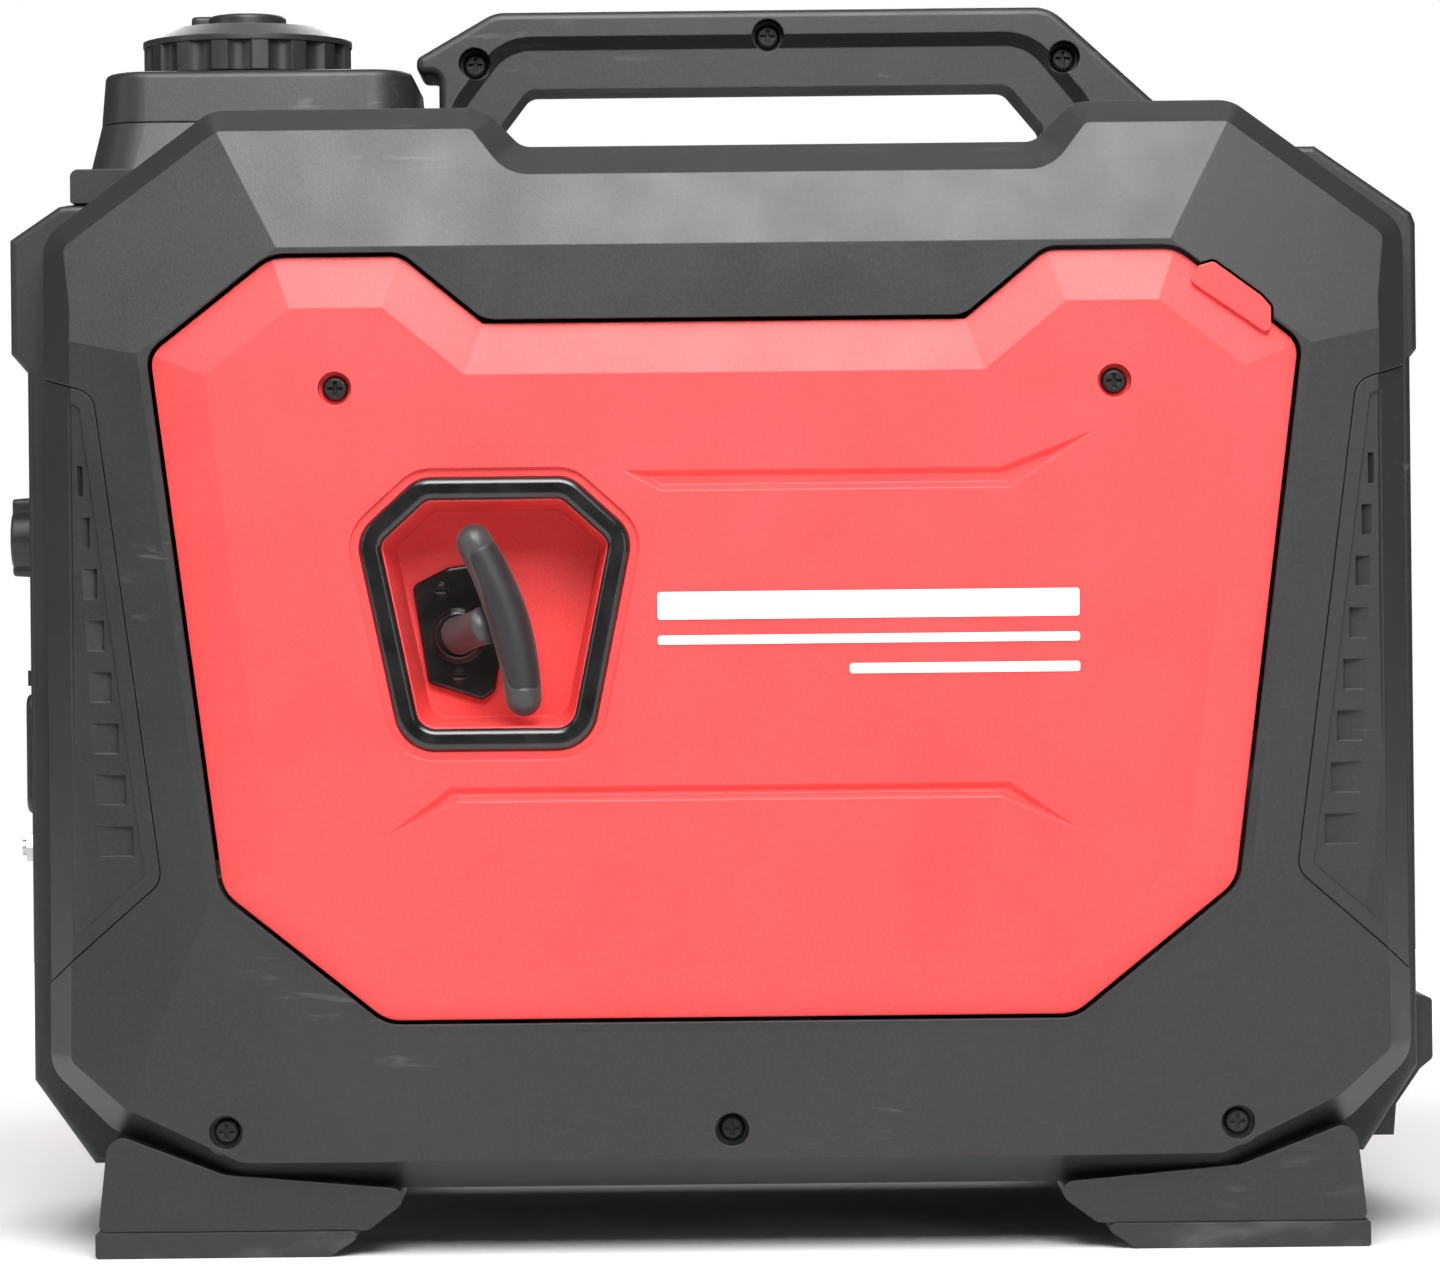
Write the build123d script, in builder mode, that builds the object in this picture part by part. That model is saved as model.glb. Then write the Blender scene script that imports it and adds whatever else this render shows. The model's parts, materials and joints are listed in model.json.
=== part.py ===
"""Portable inverter generator: moulded shells, recoil starter, engine, alternator, tank and controls.

Millimetres. +X runs from the control panel end to the exhaust end, -Y faces the recoil starter side
and +Z is up. The origin is on the ground, below the middle of the whole machine.
"""

import os
from math import atan, cos, degrees, hypot, pi, radians, sin

from build123d import *

os.makedirs("parts", exist_ok=True)

# ---------------------------------------------------------------- overall sizes
length = 536.0
width = 310.0
height = 465.0
half_length = length / 2
half_width = width / 2

# ---------------------------------------------------------------- walls and clearances
wall = 3.0
frame_wall = 4.0
fit_gap = 0.4
panel_gap = 1.4
running_gap = 0.06
moving_gap = 0.5

# ---------------------------------------------------------------- side frames
end_overhang = 20.0
frame_half = half_length - end_overhang
horn_drop = 48.0
frame_top = height - horn_drop
seam_y = half_width - 50.0
belly_z = 23.3
corner_low = 68.0
corner_high = frame_top - 46.0
crown_run = 62.0
crown_x = frame_half - crown_run
saddle_left = -73.0
saddle_right = 114.0
saddle_run = 14.0
saddle_drop = 14.5
saddle_z = frame_top - saddle_drop
keel_run = 22.0
keel_z = 46.0
belly_run = 68.0
band_width = 11.5
band_drop = 20.0
facet_drop = 7.0
band_taper = degrees(atan(band_width / band_drop))

# ---------------------------------------------------------------- feet
pad_height = 9.5
pad_inset = 1.0
foot_outer = frame_half - 18.0
foot_inner = 132.0
foot_inner_run = 19.0
foot_face = half_width - 12.5
foot_back = seam_y + 2.0
foot_top = 52.0

# ---------------------------------------------------------------- ridge around the side panels
ridge_top_x = frame_half - 87.0
ridge_top_z = frame_top - 52.0
ridge_side_x = frame_half - 36.5
ridge_side_z = frame_top - 90.0
ridge_low_x = frame_half - 61.0
ridge_low_z = 129.0
ridge_foot_x = frame_half - 122.0
ridge_foot_z = 81.5
top_run = 26.4
diagonal_run = 29.3
side_run = 36.8
low_run = 70.0
bottom_run = 74.0

# ---------------------------------------------------------------- side panels
panel_top_z = frame_top - 55.5
panel_lobe_x = frame_half - 85.0
panel_step_x = frame_half - 131.5
panel_notch_x = frame_half - 161.0
panel_notch_z = frame_top - 80.0
panel_side_x = frame_half - 41.0
panel_side_z = frame_top - 90.0
panel_low_x = frame_half - 65.5
panel_low_z = 133.0
panel_foot_x = frame_half - 124.0
panel_foot_z = 86.0
panel_edge = half_width - 4.0
panel_rise = 3.4
panel_slope_run = 18.5
panel_skirt = 18.0
panel_face = panel_edge + panel_rise
groove_depth = 2.2
groove_taper = 45.0
groove_high_z = 283.5
groove_low_z = 170.0
screw_well_depth = 6.0
tab_gap = 1.0

# ---------------------------------------------------------------- recoil starter
starter_x = -83.5
pocket_top_z = 281.5
pocket_shoulder_z = 261.0
pocket_foot_z = 183.0
pocket_top_half = 27.5
pocket_shoulder_half = 50.0
pocket_foot_half = 34.0
pocket_depth = 40.0
pocket_draw = 3.5
trim_width = 8.0
trim_height = 5.4
trim_clearance = 0.2
halo_width = 3.5
halo_depth = 2.0
eyelet_x = -98.0
eyelet_z = 224.5
eyelet_radius = 5.0
plate_thickness = 4.0
rope_radius = 2.25
grip_x = -84.0
grip_z = 229.5
grip_length = 72.0
grip_tilt = 17.0
grip_bow = 5.0
grip_half_width = 7.6
grip_half_depth = 8.2
grip_front = half_width - 1.5
rope_gap = 0.5
eyelet_height = 5.0
plate_screw_radius = 2.6
plate_screw_height = 1.6
plate_screw_slot = 0.8
eyelet_flange_radius = 9.5
neck_gap = 0.8
neck_radius = 7.0
grip_end_radius = 6.2
neck_tail = 20.0
spool_flange = 1.6
spool_post_radius = 7.0
pulley_radius = 42.0
crank_x = -20.0
crank_z = eyelet_z - pulley_radius

# ---------------------------------------------------------------- vent inserts
insert_top_z = frame_top - 97.0
insert_top_drop = 7.0
insert_top_x = frame_half - 20.0
insert_low_x = frame_half - 43.0
insert_low_z = 137.0
insert_foot_z = 98.0
insert_thickness = 4.6
insert_flange = 4.0
insert_flange_wall = 2.0
insert_rim = 5.5
insert_step = 1.3
vent_margin = 9.0
vent_count = 8
vent_pitch = 18.6
vent_height = 11.0
vent_depth = 4.2
vent_first_z = 146.0

# ---------------------------------------------------------------- end covers
cover_half = seam_y - 0.6
cover_wall = 3.0
hood_x = half_length - 5.0
hood_step = 6.0
front_x = hood_x - hood_step
hood_z = 330.0
hood_top_z = frame_top - 45.0
hood_crest_z = frame_top - 32.0
cover_low_z = 62.0
cover_keel_z = 31.0
cover_depth = 46.0
rear_hood_x = half_length - 12.0
rear_face_x = rear_hood_x - 2.5
rear_crest_z = frame_top - 15.0
bumper_x = half_length - 7.0
bumper_low = 60.0
bumper_high = 86.0
bumper_half = 92.0
louvre_count = 13
louvre_pitch = 17.6
louvre_first_z = 98.0
louvre_stick = 2.2
louvre_slot = 5.0
louvre_half = 84.0

# ---------------------------------------------------------------- top, filler and handle
deck_z = frame_top - 19.0
cap_x = 85.5 - half_length
collar_foot_z = frame_top + 2.5
collar_top_z = frame_top + 22.0
collar_half_x = 60.0
collar_half_y = 58.0
collar_shift = 7.5
neck_spread = 5.0
cap_radius = 40.0
cap_base_z = frame_top + 24.0
cap_skirt_z = frame_top + 37.6
cap_crown_z = frame_top + 42.5
filler_radius = 24.0
knob_radius = 15.0
handle_top = frame_top + 46.3
handle_under = frame_top + 16.7
handle_left = -78.0
handle_right = 121.0
handle_half = 24.0
handle_inner_inset = 4.5
handle_wall = 3.0

# ---------------------------------------------------------------- control panel
control_half = 84.0
control_low_z = 98.0
control_high_z = 314.0
panel_plate = 3.0
bezel_height = 3.0
lamp_z = 292.0
lamp_radius = 3.5
row_z = 262.0
button_radius = 5.0
button_gap = 0.3
button_proud = 3.0
rocker_u = 14.0
rocker_width = 13.0
rocker_height = 19.0
rocker_pivot = 1.4
rocker_pin = 2.0
rocker_pin_radius = 1.2
knob_u = 60.0
knob_base_radius = 17.0
knob_grip_radius = 12.0
knob_shaft_radius = 4.0
outlet_row_z = 230.0
usb_u = 56.0
usb_width = 18.0
usb_height = 10.0
dc_u = 14.0
dc_radius = 10.0
port_radius = 6.0
socket_u = 42.0
socket_z = 184.0
socket_half = 25.0
socket_radius = 22.0
socket_well = 19.5
socket_flange = 3.0
socket_recess = 13.0
socket_body = 24.0
hinge_knuckle = 2.9
hinge_pin = 1.5
ear_reach = 20.0
ear_width = 4.0
cover_plate = 6.0
ground_u = 94.0
ground_z = 147.7
ground_radius = 3.0

# ---------------------------------------------------------------- tank and base
neck_top = frame_top + 33.0
tank_height = 64.0
tank_width = 192.0
tank_rear = 110.0
tank_wall = 3.0
vent_stem_radius = 4.0
scallop_radius = 6.0
scallop_depth = 2.6
scallop_count = 16
handle_seam = 0.1
handle_band = 15.0
handle_screw_seat = 13.0
pan_low = 24.5
pan_wall = 3.0
pan_half_x = frame_half - 34.0
pan_lip = 30.0
pad_gap = 0.2
pad_proud = 0.8
module_length = 46.0
module_width = 150.0
module_height = 100.0

# ---------------------------------------------------------------- engine and alternator
shaft_radius = 12.0
fan_radius = 68.0
rotor_radius = 72.0
rotor_wall = 7.0
stator_hub = 38.0
stator_poles = 12
case_depth = 64.0
case_width = 108.0
case_height = 122.0
barrel_tilt = 25.0
barrel_radius = 34.0
barrel_length = 52.0
fin_width = 84.0
fin_count = 5
fin_pitch = 9.0
fin_thickness = 3.0
head_height = 26.0
plug_radius = 7.0
mount_foot = 31.0
mount_top = 58.0
muffler_length = 74.0
muffler_width = 124.0
muffler_height = 110.0
muffler_z = 128.0
outlet_y = 26.0
outlet_radius = 16.0

# ---------------------------------------------------------------- fasteners
screw_head_radius = 4.7
screw_well_radius = 6.1
screw_head_height = 2.6
screw_shank_radius = 2.4
screw_length = 12.0
screw_boss_radius = 8.5
screw_boss_length = 8.0
cross_length = 5.4
cross_width = 1.3
cross_depth = 1.7


# ---------------------------------------------------------------- shared shapes
def rounded_face(points, radius):
    """Flat outline with rounded corners; radius is one value or one for each corner."""
    with BuildSketch() as shape:
        with BuildLine():
            FilletPolyline(*points, radius=radius, close=True)
        make_face()
    return shape.sketch


def polygon_face(points):
    """Flat outline with sharp corners."""
    with BuildSketch() as shape:
        with BuildLine():
            Polyline(*points, close=True)
        make_face()
    return shape.sketch


def grown(shape, amount):
    """The outline moved outwards by amount, or inwards when it is negative."""
    with BuildSketch() as result:
        add(shape)
        offset(amount=amount)
    return result.sketch


def shifted_polygon(points, shifts):
    """Corners of a counterclockwise polygon whose edges move outwards, one shift for each edge."""
    lines = []
    for (x0, z0), (x1, z1), shift in zip(points, points[1:] + points[:1], shifts):
        run = hypot(x1 - x0, z1 - z0)
        normal_x = (z1 - z0) / run
        normal_z = (x0 - x1) / run
        lines.append((normal_x, normal_z, normal_x * x0 + normal_z * z0 + shift))
    corners = []
    for (a0, b0, c0), (a1, b1, c1) in zip(lines[-1:] + lines[:-1], lines):
        cross = a0 * b1 - a1 * b0
        corners.append(((c0 * b1 - c1 * b0) / cross, (a0 * c1 - a1 * c0) / cross))
    return corners


def slab(shape, start, end):
    """Solid of an XZ outline between two distances from the middle plane, out towards -Y."""
    with BuildPart() as solid:
        with BuildSketch(Plane.XZ.offset(start)):
            add(shape)
        extrude(amount=end - start)
    return solid.part


def mirrored_points(points):
    """A right-hand run of corners followed by its mirror image, as one closed ring."""
    return points + [(-x, z) for x, z in reversed(points)]


def write(part, name):
    """Label a finished piece and write it under its own name."""
    part.label = name
    export_step(part, f"parts/{name}.step")


# ---------------------------------------------------------------- side frame forms
frame_right_low = [
    (frame_half - belly_run, belly_z),
    (frame_half - keel_run, keel_z),
    (frame_half, corner_low),
    (frame_half, corner_high),
    (crown_x, frame_top),
]
frame_saddle = [
    (saddle_right + saddle_run, frame_top),
    (saddle_right, saddle_z),
    (saddle_left, saddle_z),
    (saddle_left - saddle_run, frame_top),
]
frame_left_low = [(-x, z) for x, z in reversed(frame_right_low)]
frame_radii = [20, 14, 14, 14, 14, 13, 8, 8, 13, 14, 14, 14, 14, 20]
frame_outline = rounded_face(frame_right_low + frame_saddle + frame_left_low, frame_radii)
ridge_points = mirrored_points(
    [
        (ridge_foot_x, ridge_foot_z),
        (ridge_low_x, ridge_low_z),
        (ridge_side_x, ridge_side_z),
        (ridge_top_x, ridge_top_z),
    ]
)
ridge_runs = [low_run, side_run, diagonal_run, top_run, diagonal_run, side_run, low_run, bottom_run]
panel_points = mirrored_points(
    [
        (panel_foot_x, panel_foot_z),
        (panel_low_x, panel_low_z),
        (panel_side_x, panel_side_z),
        (panel_lobe_x, panel_top_z),
        (panel_step_x, panel_top_z),
        (panel_notch_x, panel_notch_z),
    ]
)
panel_radii = [14, 14, 9, 14, 10, 12, 12, 10, 14, 9, 14, 14]
panel_outline = rounded_face(panel_points, panel_radii)


def facet_block(back):
    """Faceted block whose tip is the ridge around the side panel, set back from the face."""
    face = half_width - back
    depth = face - seam_y
    spread = shifted_polygon(ridge_points, [run * depth / facet_drop for run in ridge_runs])
    with BuildPart() as block:
        with BuildSketch(Plane.XZ.offset(seam_y)):
            add(polygon_face(spread))
        with BuildSketch(Plane.XZ.offset(face)):
            add(polygon_face(ridge_points))
        loft(ruled=True)
    return block.part


def side_form(inset, back):
    """Outer form of a side frame: flank, bevelled band and facets, drawn in and set back."""
    face = half_width - back
    band_top = face - facet_drop
    band_foot = band_top - band_drop
    flank = grown(frame_outline, -inset) if inset else frame_outline
    with BuildPart() as form:
        add(slab(flank, seam_y, band_foot))
        with BuildSketch(Plane.XZ.offset(band_foot)):
            add(flank)
        extrude(amount=band_drop, taper=band_taper)
        add(slab(grown(flank, -band_width), band_top, face))
        add(facet_block(back), mode=Mode.INTERSECT)
    return form.part


def side_core(depth):
    """Space inside a side frame, depth behind its skin, open towards the middle of the machine."""
    face = half_width - depth
    band_foot = face - facet_drop - band_drop
    with BuildPart() as core:
        add(slab(grown(frame_outline, -depth), seam_y, band_foot))
        add(slab(grown(frame_outline, -depth - band_width), band_foot - 1.0, face))
        add(facet_block(depth), mode=Mode.INTERSECT)
    return core.part


# ---------------------------------------------------------------- side frames
insert_points = [
    (frame_half + 2.0, insert_foot_z),
    (frame_half + 2.0, insert_top_z),
    (insert_top_x, insert_top_z - insert_top_drop),
    (insert_low_x, insert_low_z),
]
insert_face = rounded_face(insert_points, [1, 1, 8, 8])
insert_reach = half_width - facet_drop - band_drop - 2.0
vent_field_reach = facet_drop + 3.0
frame_screw_spots = [(-182.8, 46.0), (0.0, 45.5), (182.8, 46.0)]
frame_screw_face = half_width - 12.5
panel_screw_spots = [(-140.5, frame_top - 103.0), (140.5, frame_top - 103.0)]
foot_points = [
    (foot_inner, pad_height),
    (foot_outer, pad_height),
    (foot_outer - 4.0, keel_z),
    (frame_half - belly_run + 4.0, foot_top - 22.0),
    (foot_inner - foot_inner_run, belly_z + 0.5),
]
foot_shape = rounded_face(foot_points, [4, 3, 6, 6, 4])
tab_points = [
    (panel_lobe_x + 5.0, panel_top_z - 12.0),
    (panel_lobe_x + 34.0, panel_top_z - 32.0),
    (panel_lobe_x + 34.0, panel_top_z - 21.5),
    (panel_lobe_x + 30.5, panel_top_z - 17.5),
    (panel_lobe_x + 13.5, panel_top_z - 5.0),
    (panel_lobe_x + 8.0, panel_top_z - 6.5),
]
tab_face = rounded_face(tab_points, 2.0)
insert_window = slab(grown(insert_face, fit_gap), insert_reach, half_width)

with BuildPart() as side_frame:
    add(side_form(0, 0))
    for foot in (foot_shape, foot_shape.mirror(Plane.YZ)):
        add(slab(foot, foot_back, foot_face))
    add(side_core(frame_wall), mode=Mode.SUBTRACT)
    for foot in (foot_shape, foot_shape.mirror(Plane.YZ)):
        add(slab(grown(foot, -frame_wall), foot_back, foot_face - frame_wall), mode=Mode.SUBTRACT)
    add(slab(grown(panel_outline, panel_gap), seam_y - 1.0, half_width + 1.0), mode=Mode.SUBTRACT)
    add(slab(grown(tab_face, tab_gap), panel_edge - wall - 1.0, half_width + 1.0), mode=Mode.SUBTRACT)
    add(insert_window, mode=Mode.SUBTRACT)
    add(insert_window.mirror(Plane.YZ), mode=Mode.SUBTRACT)
    with BuildSketch(Plane.XZ.offset(frame_screw_face - screw_boss_length)):
        with Locations(*frame_screw_spots):
            Circle(screw_boss_radius)
    extrude(amount=half_width - facet_drop - frame_screw_face + screw_boss_length - fit_gap)
    with BuildSketch(Plane.XZ.offset(frame_screw_face)):
        with Locations(*frame_screw_spots):
            Circle(screw_well_radius)
    extrude(amount=half_width - frame_screw_face, mode=Mode.SUBTRACT)
    with BuildSketch(Plane.XZ.offset(frame_screw_face - screw_boss_length)):
        with Locations(*frame_screw_spots):
            Circle(screw_shank_radius)
    extrude(amount=screw_boss_length, mode=Mode.SUBTRACT)
write(side_frame.part, "side_frame_left")
write(side_frame.part.mirror(Plane.XZ), "side_frame_right")


# ---------------------------------------------------------------- vent inserts in the side frames
def vent_cutter(row):
    """Ramped pocket of one vent row, deepest beside the panel and fading out towards the end."""
    low = vent_first_z + row * vent_pitch
    share = (low - insert_low_z) / (insert_top_z - insert_top_drop - insert_low_z)
    inner_x = insert_low_x + share * (insert_top_x - insert_low_x) + vent_margin
    outer_x = frame_half - band_width - 1.0
    ridge_share = (low - ridge_low_z) / (ridge_side_z - ridge_low_z)
    ridge_x = ridge_low_x + ridge_share * (ridge_side_x - ridge_low_x)
    inner_skin = half_width - facet_drop * (inner_x - ridge_x) / side_run
    outer_skin = half_width - facet_drop * (outer_x - ridge_x) / side_run
    with BuildPart() as cutter:
        with BuildSketch(Plane.XY.offset(low)):
            with BuildLine():
                Polyline(
                    (inner_x, -half_width),
                    (inner_x, vent_depth - inner_skin),
                    (outer_x, -outer_skin),
                    (outer_x, -half_width),
                    close=True,
                )
            make_face()
        extrude(amount=vent_height)
    return cutter.part


vent_field_face = grown(insert_face, -insert_rim)
with BuildPart() as vent_skin:
    add(side_form(fit_gap, fit_gap))
    add(side_core(insert_thickness), mode=Mode.SUBTRACT)
    add(slab(insert_face, insert_reach + fit_gap, half_width), mode=Mode.INTERSECT)
with BuildPart() as vent_field:
    add(side_form(0, 0))
    add(side_form(fit_gap, fit_gap).moved(Location((0, insert_step, 0))), mode=Mode.SUBTRACT)
    add(slab(vent_field_face, half_width - vent_field_reach, half_width), mode=Mode.INTERSECT)
with BuildPart() as vent_flange:
    add(side_core(frame_wall + fit_gap))
    add(side_core(frame_wall + insert_flange_wall), mode=Mode.SUBTRACT)
    add(slab(grown(insert_face, insert_flange), insert_reach + fit_gap, half_width), mode=Mode.INTERSECT)
with BuildPart() as vent_insert:
    add(vent_skin.part)
    add(vent_flange.part)
    add(vent_field.part, mode=Mode.SUBTRACT)
    for row in range(vent_count):
        add(vent_cutter(row), mode=Mode.SUBTRACT)
write(vent_insert.part, "vent_insert_left_rear")
write(vent_insert.part.mirror(Plane.YZ), "vent_insert_left_front")
write(vent_insert.part.mirror(Plane.XZ), "vent_insert_right_rear")
write(vent_insert.part.mirror(Plane.XZ).mirror(Plane.YZ), "vent_insert_right_front")


# ---------------------------------------------------------------- screws
def screw_group(spots, seat):
    """Cross-head screws at XZ spots, their heads resting on a seat that faces -Y."""
    with BuildPart() as group:
        with BuildSketch(Plane.XZ.offset(seat)):
            with Locations(*spots):
                Circle(screw_head_radius)
        extrude(amount=screw_head_height)
        fillet(group.faces().group_by(Axis.Y)[0].edges(), screw_head_height * 0.6)
        with BuildSketch(Plane.XZ.offset(seat + screw_head_height - cross_depth)):
            with Locations(*spots):
                Rectangle(cross_length, cross_width)
                Rectangle(cross_width, cross_length)
        extrude(amount=cross_depth, mode=Mode.SUBTRACT)
        with BuildSketch(Plane.XZ.offset(seat - screw_length)):
            with Locations(*spots):
                Circle(screw_shank_radius - fit_gap / 4)
        extrude(amount=screw_length)
    return group.part


def both_sides(part):
    """A piece together with its mirror image on the far side of the machine."""
    return Compound(children=[part, part.mirror(Plane.XZ)])


write(both_sides(screw_group(frame_screw_spots, frame_screw_face)), "frame_screws")

# ---------------------------------------------------------------- side panels
groove_high = [
    (starter_x + 46.5, groove_high_z),
    (starter_x + 60.0, groove_high_z - 7.5),
    (panel_notch_x + 15.6, groove_high_z - 7.5),
    (panel_notch_x + 46.8, groove_high_z + 13.0),
    (panel_notch_x + 12.0, groove_high_z),
]
groove_low = [
    (starter_x - 41.5, groove_low_z - 18.5),
    (starter_x - 14.0, groove_low_z - 5.5),
    (panel_notch_x + 11.0, groove_low_z - 5.5),
    (panel_notch_x + 40.3, groove_low_z - 18.0),
    (panel_notch_x + 14.5, groove_low_z),
    (starter_x - 17.0, groove_low_z),
]
pocket_points = [
    (starter_x - pocket_foot_half, pocket_foot_z),
    (starter_x + pocket_foot_half, pocket_foot_z),
    (starter_x + pocket_shoulder_half, pocket_shoulder_z),
    (starter_x + pocket_top_half, pocket_top_z),
    (starter_x - pocket_top_half, pocket_top_z),
    (starter_x - pocket_shoulder_half, pocket_shoulder_z),
]
trim_outer = rounded_face(pocket_points, [15, 15, 13, 12, 12, 13])
trim_inner_points = shifted_polygon(pocket_points, [-trim_width] * 6)
trim_inner = rounded_face(trim_inner_points, [7, 7, 5, 5, 5, 5])
floor_points = shifted_polygon(trim_inner_points, [-pocket_draw] * 6)
pocket_floor = rounded_face(floor_points, [7, 7, 5, 5, 5, 5])
floor_y = panel_face - pocket_depth
trim_seat = half_width - trim_height - trim_clearance


def tapered(low_face, low, high_face, high):
    """Solid between two XZ outlines at two distances from the middle plane."""
    with BuildPart() as solid:
        with BuildSketch(Plane.XZ.offset(low)):
            add(low_face)
        with BuildSketch(Plane.XZ.offset(high)):
            add(high_face)
        loft(ruled=True)
    return solid.part


def panel_form(inset, back):
    """Outer form of a side panel: a plateau inside a sloping border."""
    outer = shifted_polygon(panel_points, [-inset] * 12)
    inner = shifted_polygon(outer, [-panel_slope_run] * 12)
    skirt = panel_edge - panel_skirt
    outline = grown(panel_outline, -inset) if inset else panel_outline
    with BuildPart() as form:
        add(tapered(polygon_face(outer), panel_edge - back, polygon_face(inner), panel_face - back))
        add(slab(polygon_face(outer), skirt, panel_edge - back))
        add(slab(outline, skirt, panel_face), mode=Mode.INTERSECT)
    return form.part


with BuildPart() as panel_shell:
    add(panel_form(0, 0))
    add(panel_form(wall, wall), mode=Mode.SUBTRACT)
    add(slab(tab_face, panel_edge - wall, half_width - 0.3))
    with BuildSketch(Plane.XZ.offset(panel_face - screw_well_depth - wall)):
        with Locations(*panel_screw_spots):
            Circle(screw_well_radius + wall)
    extrude(amount=screw_well_depth)
    with BuildSketch(Plane.XZ.offset(panel_face - screw_well_depth)):
        with Locations(*panel_screw_spots):
            Circle(screw_well_radius)
    extrude(amount=screw_well_depth + 1.0, mode=Mode.SUBTRACT)
    with BuildSketch(Plane.XZ.offset(panel_face - screw_well_depth - wall)):
        with Locations(*panel_screw_spots):
            Circle(screw_shank_radius)
    extrude(amount=wall, mode=Mode.SUBTRACT)
    for groove in (groove_high, groove_low):
        with BuildSketch(Plane.XZ.offset(panel_face)):
            add(polygon_face(groove))
        extrude(amount=-groove_depth, taper=groove_taper, mode=Mode.SUBTRACT)
write(panel_shell.part.mirror(Plane.XZ), "side_panel_right")
write(both_sides(screw_group(panel_screw_spots, panel_face - screw_well_depth)), "panel_screws")

with BuildPart() as side_panel_left:
    add(panel_shell.part)
    add(slab(grown(trim_outer, halo_width + wall), trim_seat - wall, panel_face - wall))
    add(tapered(grown(pocket_floor, wall), floor_y - wall, grown(trim_inner, wall), trim_seat))
    add(slab(grown(trim_outer, halo_width), panel_face - halo_depth, panel_face + 1.0), mode=Mode.SUBTRACT)
    add(slab(grown(trim_outer, trim_clearance), trim_seat, panel_face), mode=Mode.SUBTRACT)
    add(tapered(pocket_floor, floor_y, trim_inner, panel_face), mode=Mode.SUBTRACT)
    with BuildSketch(Plane.XZ.offset(floor_y - wall)):
        with Locations((eyelet_x, eyelet_z)):
            Circle(eyelet_radius + trim_clearance)
    extrude(amount=wall, mode=Mode.SUBTRACT)
write(side_panel_left.part, "side_panel_left")

# ---------------------------------------------------------------- recoil starter, outside
trim_front = half_width - trim_clearance
with BuildPart() as starter_trim_ring:
    add(slab(trim_outer, trim_seat, trim_front))
    add(slab(trim_inner, trim_seat - 1.0, trim_front + 1.0), mode=Mode.SUBTRACT)
    fillet(starter_trim_ring.faces().sort_by(Axis.Y)[0].edges(), 2.4)
write(starter_trim_ring.part, "starter_trim_ring")

plate_y = floor_y + plate_thickness
eyelet_front = plate_y + eyelet_height
plate_points = [
    (eyelet_x - 11.5, eyelet_z - 17.5),
    (eyelet_x + 8.5, eyelet_z - 24.0),
    (eyelet_x + 13.0, eyelet_z - 20.5),
    (eyelet_x + 20.0, eyelet_z + 16.0),
    (eyelet_x + 13.0, eyelet_z + 27.5),
    (eyelet_x - 4.0, eyelet_z + 25.0),
    (eyelet_x - 17.0, eyelet_z + 18.5),
]
plate_screw_spots = ((eyelet_x - 6.5, eyelet_z + 16.5), (eyelet_x, eyelet_z - 15.0))
with BuildPart() as starter_guide_plate:
    add(slab(rounded_face(plate_points, 3.0), floor_y, plate_y))
    fillet(starter_guide_plate.faces().sort_by(Axis.Y)[0].edges(), 1.2)
    with BuildSketch(Plane.XZ.offset(plate_y)):
        with Locations((eyelet_x, eyelet_z)):
            Circle(eyelet_flange_radius)
    extrude(amount=eyelet_height, taper=12)
    with BuildSketch(Plane.XZ.offset(floor_y - wall)):
        with Locations((eyelet_x, eyelet_z)):
            Circle(eyelet_radius)
    extrude(amount=wall)
    with BuildSketch(Plane.XZ.offset(floor_y - wall)):
        with Locations((eyelet_x, eyelet_z)):
            Circle(rope_radius + rope_gap)
    extrude(amount=eyelet_front - floor_y + wall, mode=Mode.SUBTRACT)
    for spot in plate_screw_spots:
        with BuildSketch(Plane.XZ.offset(plate_y)):
            with Locations(spot):
                Circle(plate_screw_radius)
        extrude(amount=plate_screw_height)
        with BuildSketch(Plane.XZ.offset(plate_y)):
            with Locations(spot):
                Rectangle(2 * plate_screw_radius, plate_screw_slot)
        extrude(amount=plate_screw_height, mode=Mode.SUBTRACT)
write(starter_guide_plate.part, "starter_guide_plate")

grip_y = grip_front - grip_half_depth
lean_x = sin(radians(grip_tilt))
lean_z = cos(radians(grip_tilt))
grip_top = (grip_x - lean_x * grip_length / 2, -grip_y, grip_z + lean_z * grip_length / 2)
grip_foot = (grip_x + lean_x * grip_length / 2, -grip_y, grip_z - lean_z * grip_length / 2)
grip_middle = (grip_x + lean_z * grip_bow, -grip_y, grip_z + lean_x * grip_bow)
neck_root = eyelet_front + neck_gap
neck_direction = Vector(grip_x - eyelet_x, neck_root - grip_y, grip_z - eyelet_z)
neck_plane = Plane(origin=(eyelet_x, -neck_root, eyelet_z), z_dir=neck_direction)
with BuildPart() as starter_grip:
    with BuildLine() as grip_path:
        ThreePointArc(grip_top, grip_middle, grip_foot)
    grip_plane = Plane(origin=grip_path.line @ 0, z_dir=grip_path.line % 0, x_dir=(0, 1, 0))
    with BuildSketch(grip_plane):
        Ellipse(grip_half_depth, grip_half_width)
    sweep()
    fillet(starter_grip.edges().filter_by(GeomType.ELLIPSE), grip_end_radius)
    with BuildSketch(neck_plane.offset(-neck_radius)):
        Circle(neck_radius)
    extrude(amount=neck_direction.length + neck_radius, taper=2)
    with BuildSketch(Plane.XZ.offset(neck_root)):
        with Locations((eyelet_x, eyelet_z)):
            Circle(4 * neck_radius)
    extrude(amount=-neck_tail, mode=Mode.SUBTRACT)
write(starter_grip.part, "starter_grip")

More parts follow.
